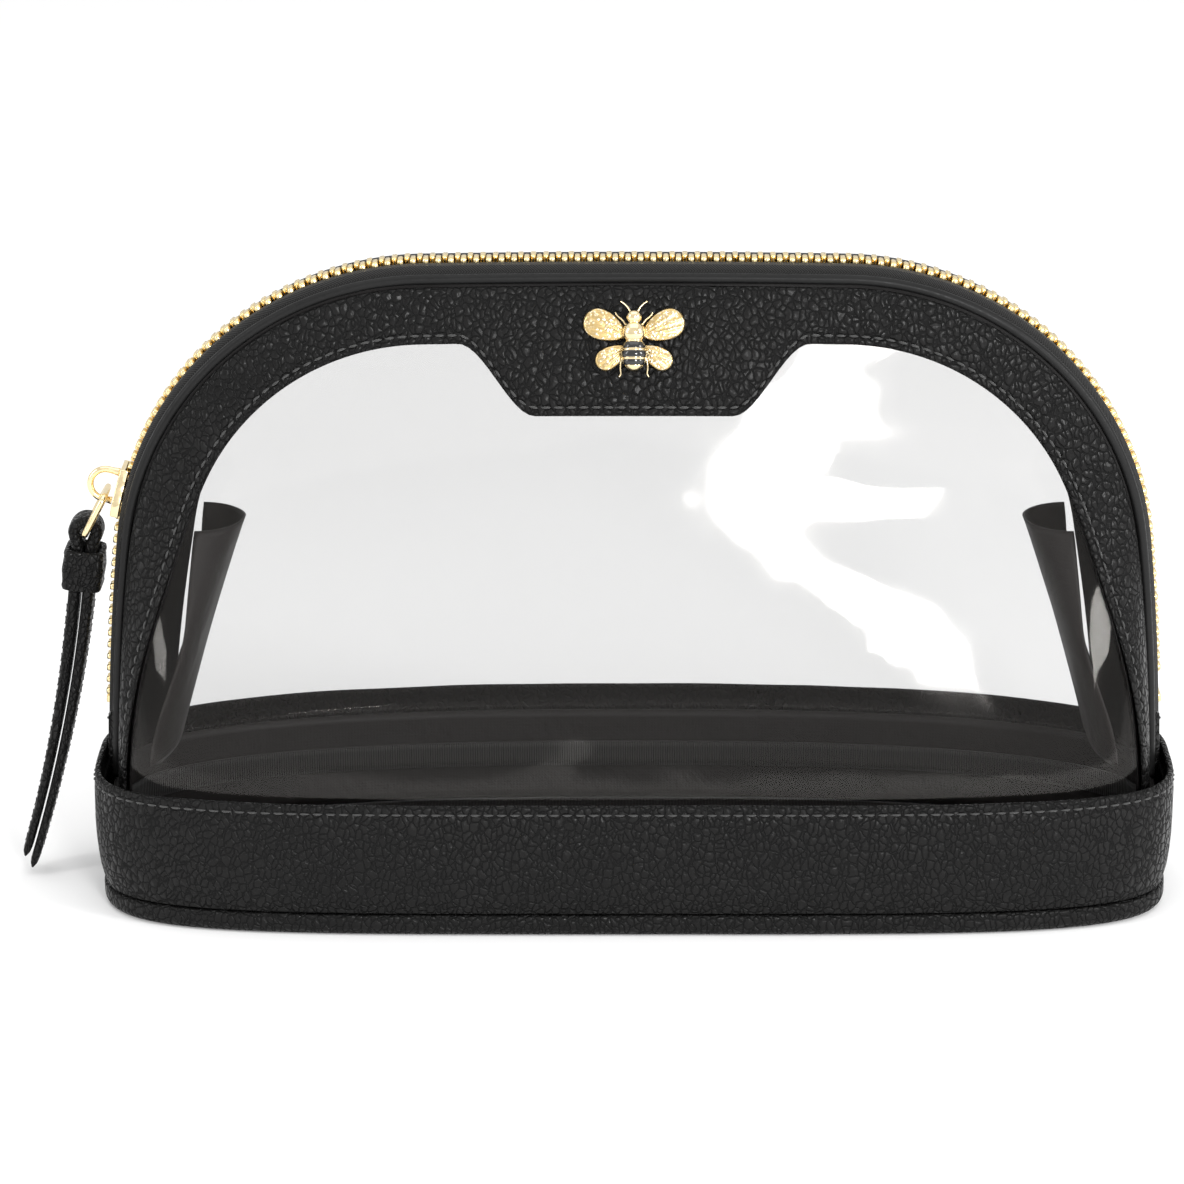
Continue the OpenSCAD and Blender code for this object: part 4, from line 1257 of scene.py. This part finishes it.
def gussetPiece(sign, name, node):
    levels = np.linspace(gussetPieces["foot"], gussetPieces["top"], 40)
    t = np.concatenate([np.linspace(0, 1, 26), np.linspace(1, 0, 26)[1:]])
    half = np.concatenate([-np.ones(26), np.ones(25)])
    plies = []
    for off in (0.0, gussetPieces["thick"]):
        grid = np.zeros((len(levels), len(t), 3))
        for i, z in enumerate(levels):
            level = np.full_like(t, z)
            x1, y1 = gussetPoint(level, t, off, 1)
            x2, y2 = gussetPoint(level, t, off, -1)
            grid[i] = np.stack([np.where(half < 0, x1, x2), np.where(half < 0, y1, y2), level], axis=-1)
        plies.append(grid)
    inner = plies[0]
    lie = np.zeros_like(inner)
    lie[..., 0] = np.cumsum(np.linalg.norm(np.diff(inner, axis=1, prepend=inner[:, :1]), axis=2), axis=1)
    lie[..., 1] = levels[:, None]
    # soft creases that run down the cloth
    crease = lumps(lie * np.array([1, 0.35, 1]), 9, 3.0 + sign) * 0.28
    crease *= np.sin(np.linspace(0, np.pi, len(t)))[None] ** 0.5
    top = smooth((levels - gussetPieces["top"] + 8) / 8)
    for grid in plies:
        grid[..., 0] += crease
        grid[..., 2] += (top[:, None] * lumps(grid, 14, 6.0) * 0.5)
        grid[..., 0] *= sign
    section = np.concatenate([plies[0], plies[1][:, ::-1]], axis=1)
    sectionLie = np.concatenate([lie, lie[:, ::-1]], axis=1)
    piece = makeLoft(name, section, gussetCloth, "bag", (node,), lie=sectionLie)
    spans = np.linalg.norm(np.diff(inner, axis=1), axis=2).sum(axis=1)
    rise = np.linalg.norm(np.diff(inner, axis=0), axis=2).sum(axis=0)
    cells = np.linalg.norm(np.cross(np.diff(inner, axis=1)[:-1], np.diff(inner, axis=0)[:, :-1]), axis=2)
    float(cells.sum()) / metre ** 2


gussetPiece(-1, "gusset_cloth_left", "gusset_left")
gussetPiece(1, "gusset_cloth_right", "gusset_right")
print("gussets made")

# ornament: a plain winged insect of no particular make
ornamentPieces = {
    "down": 11.5,        # its middle below the top edge of the panel
    "seat": 1.8,
    "span": 22.8,
    "wingThick": 1.4,
    "bodyWide": 5.4,
    "bodyLong": 13.4,
    "veins": 5,
    "legWire": 0.45,
    # reach lost from half the span, breadth, sweep in degrees and root of each wing
    "wings": ((1.2, 6.4, 24, (1.6, 1.2)), (3.6, 4.6, -32, (1.6, -1.2))),
    "bands": ((0.52, 0.62), (0.67, 0.77), (0.82, 0.90)),
    "routes": (((0.7, 6.2, 1.8), (1.3, 7.4, 1.5), (2.3, 8.4, 0.9), (3.0, 8.8, 0.5)),
               ((1.2, -1.0, 0.9), (2.6, -3.4, 0.9), (3.1, -5.6, 0.6), (2.8, -7.2, 0.2), (3.3, -7.8, 0.2)),
               ((1.2, 2.6, 0.9), (2.4, 4.6, 0.8), (3.7, 5.6, 0.5), (4.1, 6.4, 0.3))),
}


def tabAxes():
    z = edgeTop - ornamentPieces["down"]
    nearby = panelDepth(np.zeros(2), np.array([z - 6, z + 6]))
    tilt = math.atan((nearby[0] - nearby[1]) / 12)
    here = (np.array([0.0]), np.array([z]))
    seat = (panelPoint(*here) + panelOut(*here) * ornamentPieces["seat"])[0]
    right = np.array([1.0, 0, 0])
    up = np.array([0, math.sin(tilt), math.cos(tilt)])
    out = np.array([0, -math.cos(tilt), math.sin(tilt)])
    return seat, right, up, out


def onTab(local):
    seat, right, up, out = tabAxes()
    local = np.asarray(local, float)
    return seat + local[..., :1] * right + local[..., 1:2] * up + local[..., 2:] * out


def wingShape(reach, breadth, sweep, root, mirror):
    # a domed blade with raised veins that fan out from its root
    rings, count, thick = 12, 72, ornamentPieces["wingThick"]
    a = np.linspace(0, 2 * np.pi, count, endpoint=False)
    shares = np.linspace(0.02, 1, rings)
    x = reach / 2 * (1 + shares[:, None] * np.cos(a)[None])
    y = breadth / 2 * shares[:, None] * np.sin(a)[None] * (1 + 0.35 * np.cos(a)[None])
    fan = np.arctan2(y, x + reach * 0.12) / 0.42
    vein = np.exp(-(((fan * ornamentPieces["veins"] / 2 + 0.5) % 1 - 0.5) / 0.16) ** 2)
    rim = np.exp(-((shares[:, None] - 0.93) / 0.07) ** 2)
    dome = np.sqrt(np.clip(1.02 - shares ** 2, 0, 1))[:, None]
    high = 0.35 + (thick - 0.6) * dome + 0.2 * np.maximum(vein, rim) * smooth(shares * 3)[:, None]
    high[-1] = 0.3
    turn = math.radians(sweep)
    px = root[0] + x * math.cos(turn) - y * math.sin(turn)
    py = root[1] + x * math.sin(turn) + y * math.cos(turn)
    top = np.stack([mirror * px, py, high], axis=-1)
    low = top.copy()
    low[..., 2] = 0.0
    return top, low


def buildOrnament():
    points, faces, start = [], [], 0
    half = ornamentPieces["span"] / 2
    for mirror in (1, -1):
        for lost, breadth, sweep, root in ornamentPieces["wings"]:
            top, low = wingShape(half - lost, breadth, sweep, root, mirror)
            rings, count = top.shape[:2]
            size = rings * count
            block = gridFaces(rings, count, False, True, start)
            block += [tuple(v + size for v in f[::-1]) for f in block]
            last = start + (rings - 1) * count
            block += [(last + k, last + (k + 1) % count, last + size + (k + 1) % count, last + size + k)
                      for k in range(count)]
            block += [tuple(range(start, start + count)), tuple(range(start + size, start + size + count))]
            points += [top.reshape(-1, 3), low.reshape(-1, 3)]
            faces += block
            start += 2 * size
    makePiece("insect_wings", onTab(np.concatenate(points)), faces, wingGold, "bag", ("ornament_wings",))

    # body: head, thorax and a banded abdomen, turned about its long axis
    wide, long = ornamentPieces["bodyWide"] / 2, ornamentPieces["bodyLong"]
    s = np.linspace(0, 1, 90)
    head = 0.62 * np.sqrt(np.clip(1 - ((s - 0.11) / 0.11) ** 2, 0, 1))
    thorax = 0.92 * np.sqrt(np.clip(1 - ((s - 0.36) / 0.18) ** 2, 0, 1))
    belly = np.sqrt(np.clip(1 - ((s - 0.72) / 0.285) ** 2, 0, 1))
    radius = wide * np.maximum(np.maximum(head, thorax), belly)
    radius = np.maximum(radius, np.where((s > 0.05) & (s < 0.95), 0.34 * wide, 0.05))
    bands = ornamentPieces["bands"]
    groove = np.zeros_like(s)
    for a, b in bands:
        groove = np.maximum(groove, ((s > a) & (s < b)) * 1.0)
    sides = 32
    t = np.linspace(0, 2 * np.pi, sides, endpoint=False)
    yAxis = long / 2 - s * long

    def turned(r, y):
        local = np.stack([r[:, None] * np.cos(t)[None], np.broadcast_to(y[:, None], (len(y), sides)),
                          0.75 + wide * 0.72 + 0.82 * r[:, None] * np.sin(t)[None]], axis=-1)
        return onTab(local)

    makeLoft("insect_body", turned(radius - 0.22 * groove, yAxis), paleGold, "bag", ("ornament_body",))
    points, faces, start = [], [], 0
    for a, b in bands:
        share = np.linspace(a - 0.004, b + 0.004, 9)
        r = np.interp(share, s, radius) + 0.12 * np.sin(np.pi * (share - a) / (b - a)).clip(0) + 0.03
        points.append(turned(r, long / 2 - share * long).reshape(-1, 3))
        faces += ringFaces(9, sides, False, start)
        start += 9 * sides
    makePiece("insect_bands", np.concatenate(points), faces, enamel, "bag", ("ornament_bands",))

    # feelers and legs, thin wires that lie on the leather
    wire = ornamentPieces["legWire"] / 2
    points, faces, start = [], [], 0
    for route in ornamentPieces["routes"]:
        for mirror in (1, -1):
            ctrl = np.array(route) * np.array([mirror, 1, 1])
            share = np.linspace(0, 1, 18)
            path = atRuns(share, np.linspace(0, 1, len(ctrl)), ctrl)
            for smoothing in range(3):
                path[1:-1] = (path[:-2] + 2 * path[1:-1] + path[2:]) / 4
            ring = tubePoints(onTab(path), wire * (1 - 0.35 * share), 8, (0.3, 1, 0.2))
            points.append(ring.reshape(-1, 3))
            faces += ringFaces(18, 8, False, start)
            start += 18 * 8
    makePiece("insect_legs", np.concatenate(points), faces, paleGold, "bag", ())


buildOrnament()
print("ornament made")

# floor, light and camera
studio = {
    "eye": (0.0, -945.0, 376.0),
    "pitch": 18.06,
    "lens": 132.94,
    "shiftX": -0.0355,
    "floorWide": 9.0,
    "skyLight": 0.9,
    # place, target, size and power of each light, in metres and watts
    "lights": {
        "top_box": ((0.0, -0.2, 1.5), (0, 0, 0.05), (1.6, 1.2), 6),
        "front_box": ((0.44, -1.5, 0.55), (0.05, 0, 0.08), (0.3, 0.42), 13),
        "right_box": ((0.95, -0.55, 0.5), (0.05, 0, 0.06), (0.25, 0.5), 6),
        "left_strip": ((-1.1, -0.5, 0.6), (0, 0, 0.06), (0.2, 0.8), 4),
    },
}


def areaLight(name, place, target, size, power):
    light = bpy.data.lights.new(name, "AREA")
    light.shape = "RECTANGLE"
    light.size, light.size_y = size
    light.energy = power
    lamp = bpy.data.objects.new(name, light)
    bpy.context.scene.collection.objects.link(lamp)
    lamp.location = place
    lamp.rotation_euler = (Vector(target) - Vector(place)).to_track_quat("-Z", "Y").to_euler()


def buildStudio():
    scene = bpy.context.scene
    world = bpy.data.worlds.new("studio")
    world.use_nodes = True
    world.node_tree.nodes["Background"].inputs["Color"].default_value = (1, 1, 1, 1)
    world.node_tree.nodes["Background"].inputs["Strength"].default_value = studio["skyLight"]
    scene.world = world
    scene.view_settings.view_transform = "Standard"

    wide = studio["floorWide"] / 2
    mesh = bpy.data.meshes.new("floor")
    mesh.from_pydata([(-wide, -wide, 0), (wide, -wide, 0), (wide, wide, 0), (-wide, wide, 0)], [],
                     [(0, 1, 2, 3)])
    floor = bpy.data.objects.new("floor", mesh)
    scene.collection.objects.link(floor)
    paper = Finish("paper_floor", (0.93, 0.93, 0.93), 0.8)
    mottle = paper.noiseAt(paper.place(), 3, 2)
    paper.colours(mottle, (0.925, 0.925, 0.925), (0.94, 0.94, 0.94))
    mesh.materials.append(paper.material)

    for name, setting in studio["lights"].items():
        areaLight(name, *setting)

    camera = bpy.data.cameras.new("camera")
    camera.lens = studio["lens"]
    camera.sensor_width = 36
    camera.shift_x = studio["shiftX"]
    camera.clip_end = 50
    eye = bpy.data.objects.new("camera", camera)
    scene.collection.objects.link(eye)
    eye.location = [v / metre for v in studio["eye"]]
    eye.rotation_euler = (math.radians(90 - studio["pitch"]), 0, 0)
    scene.camera = eye


buildStudio()
print("studio made")
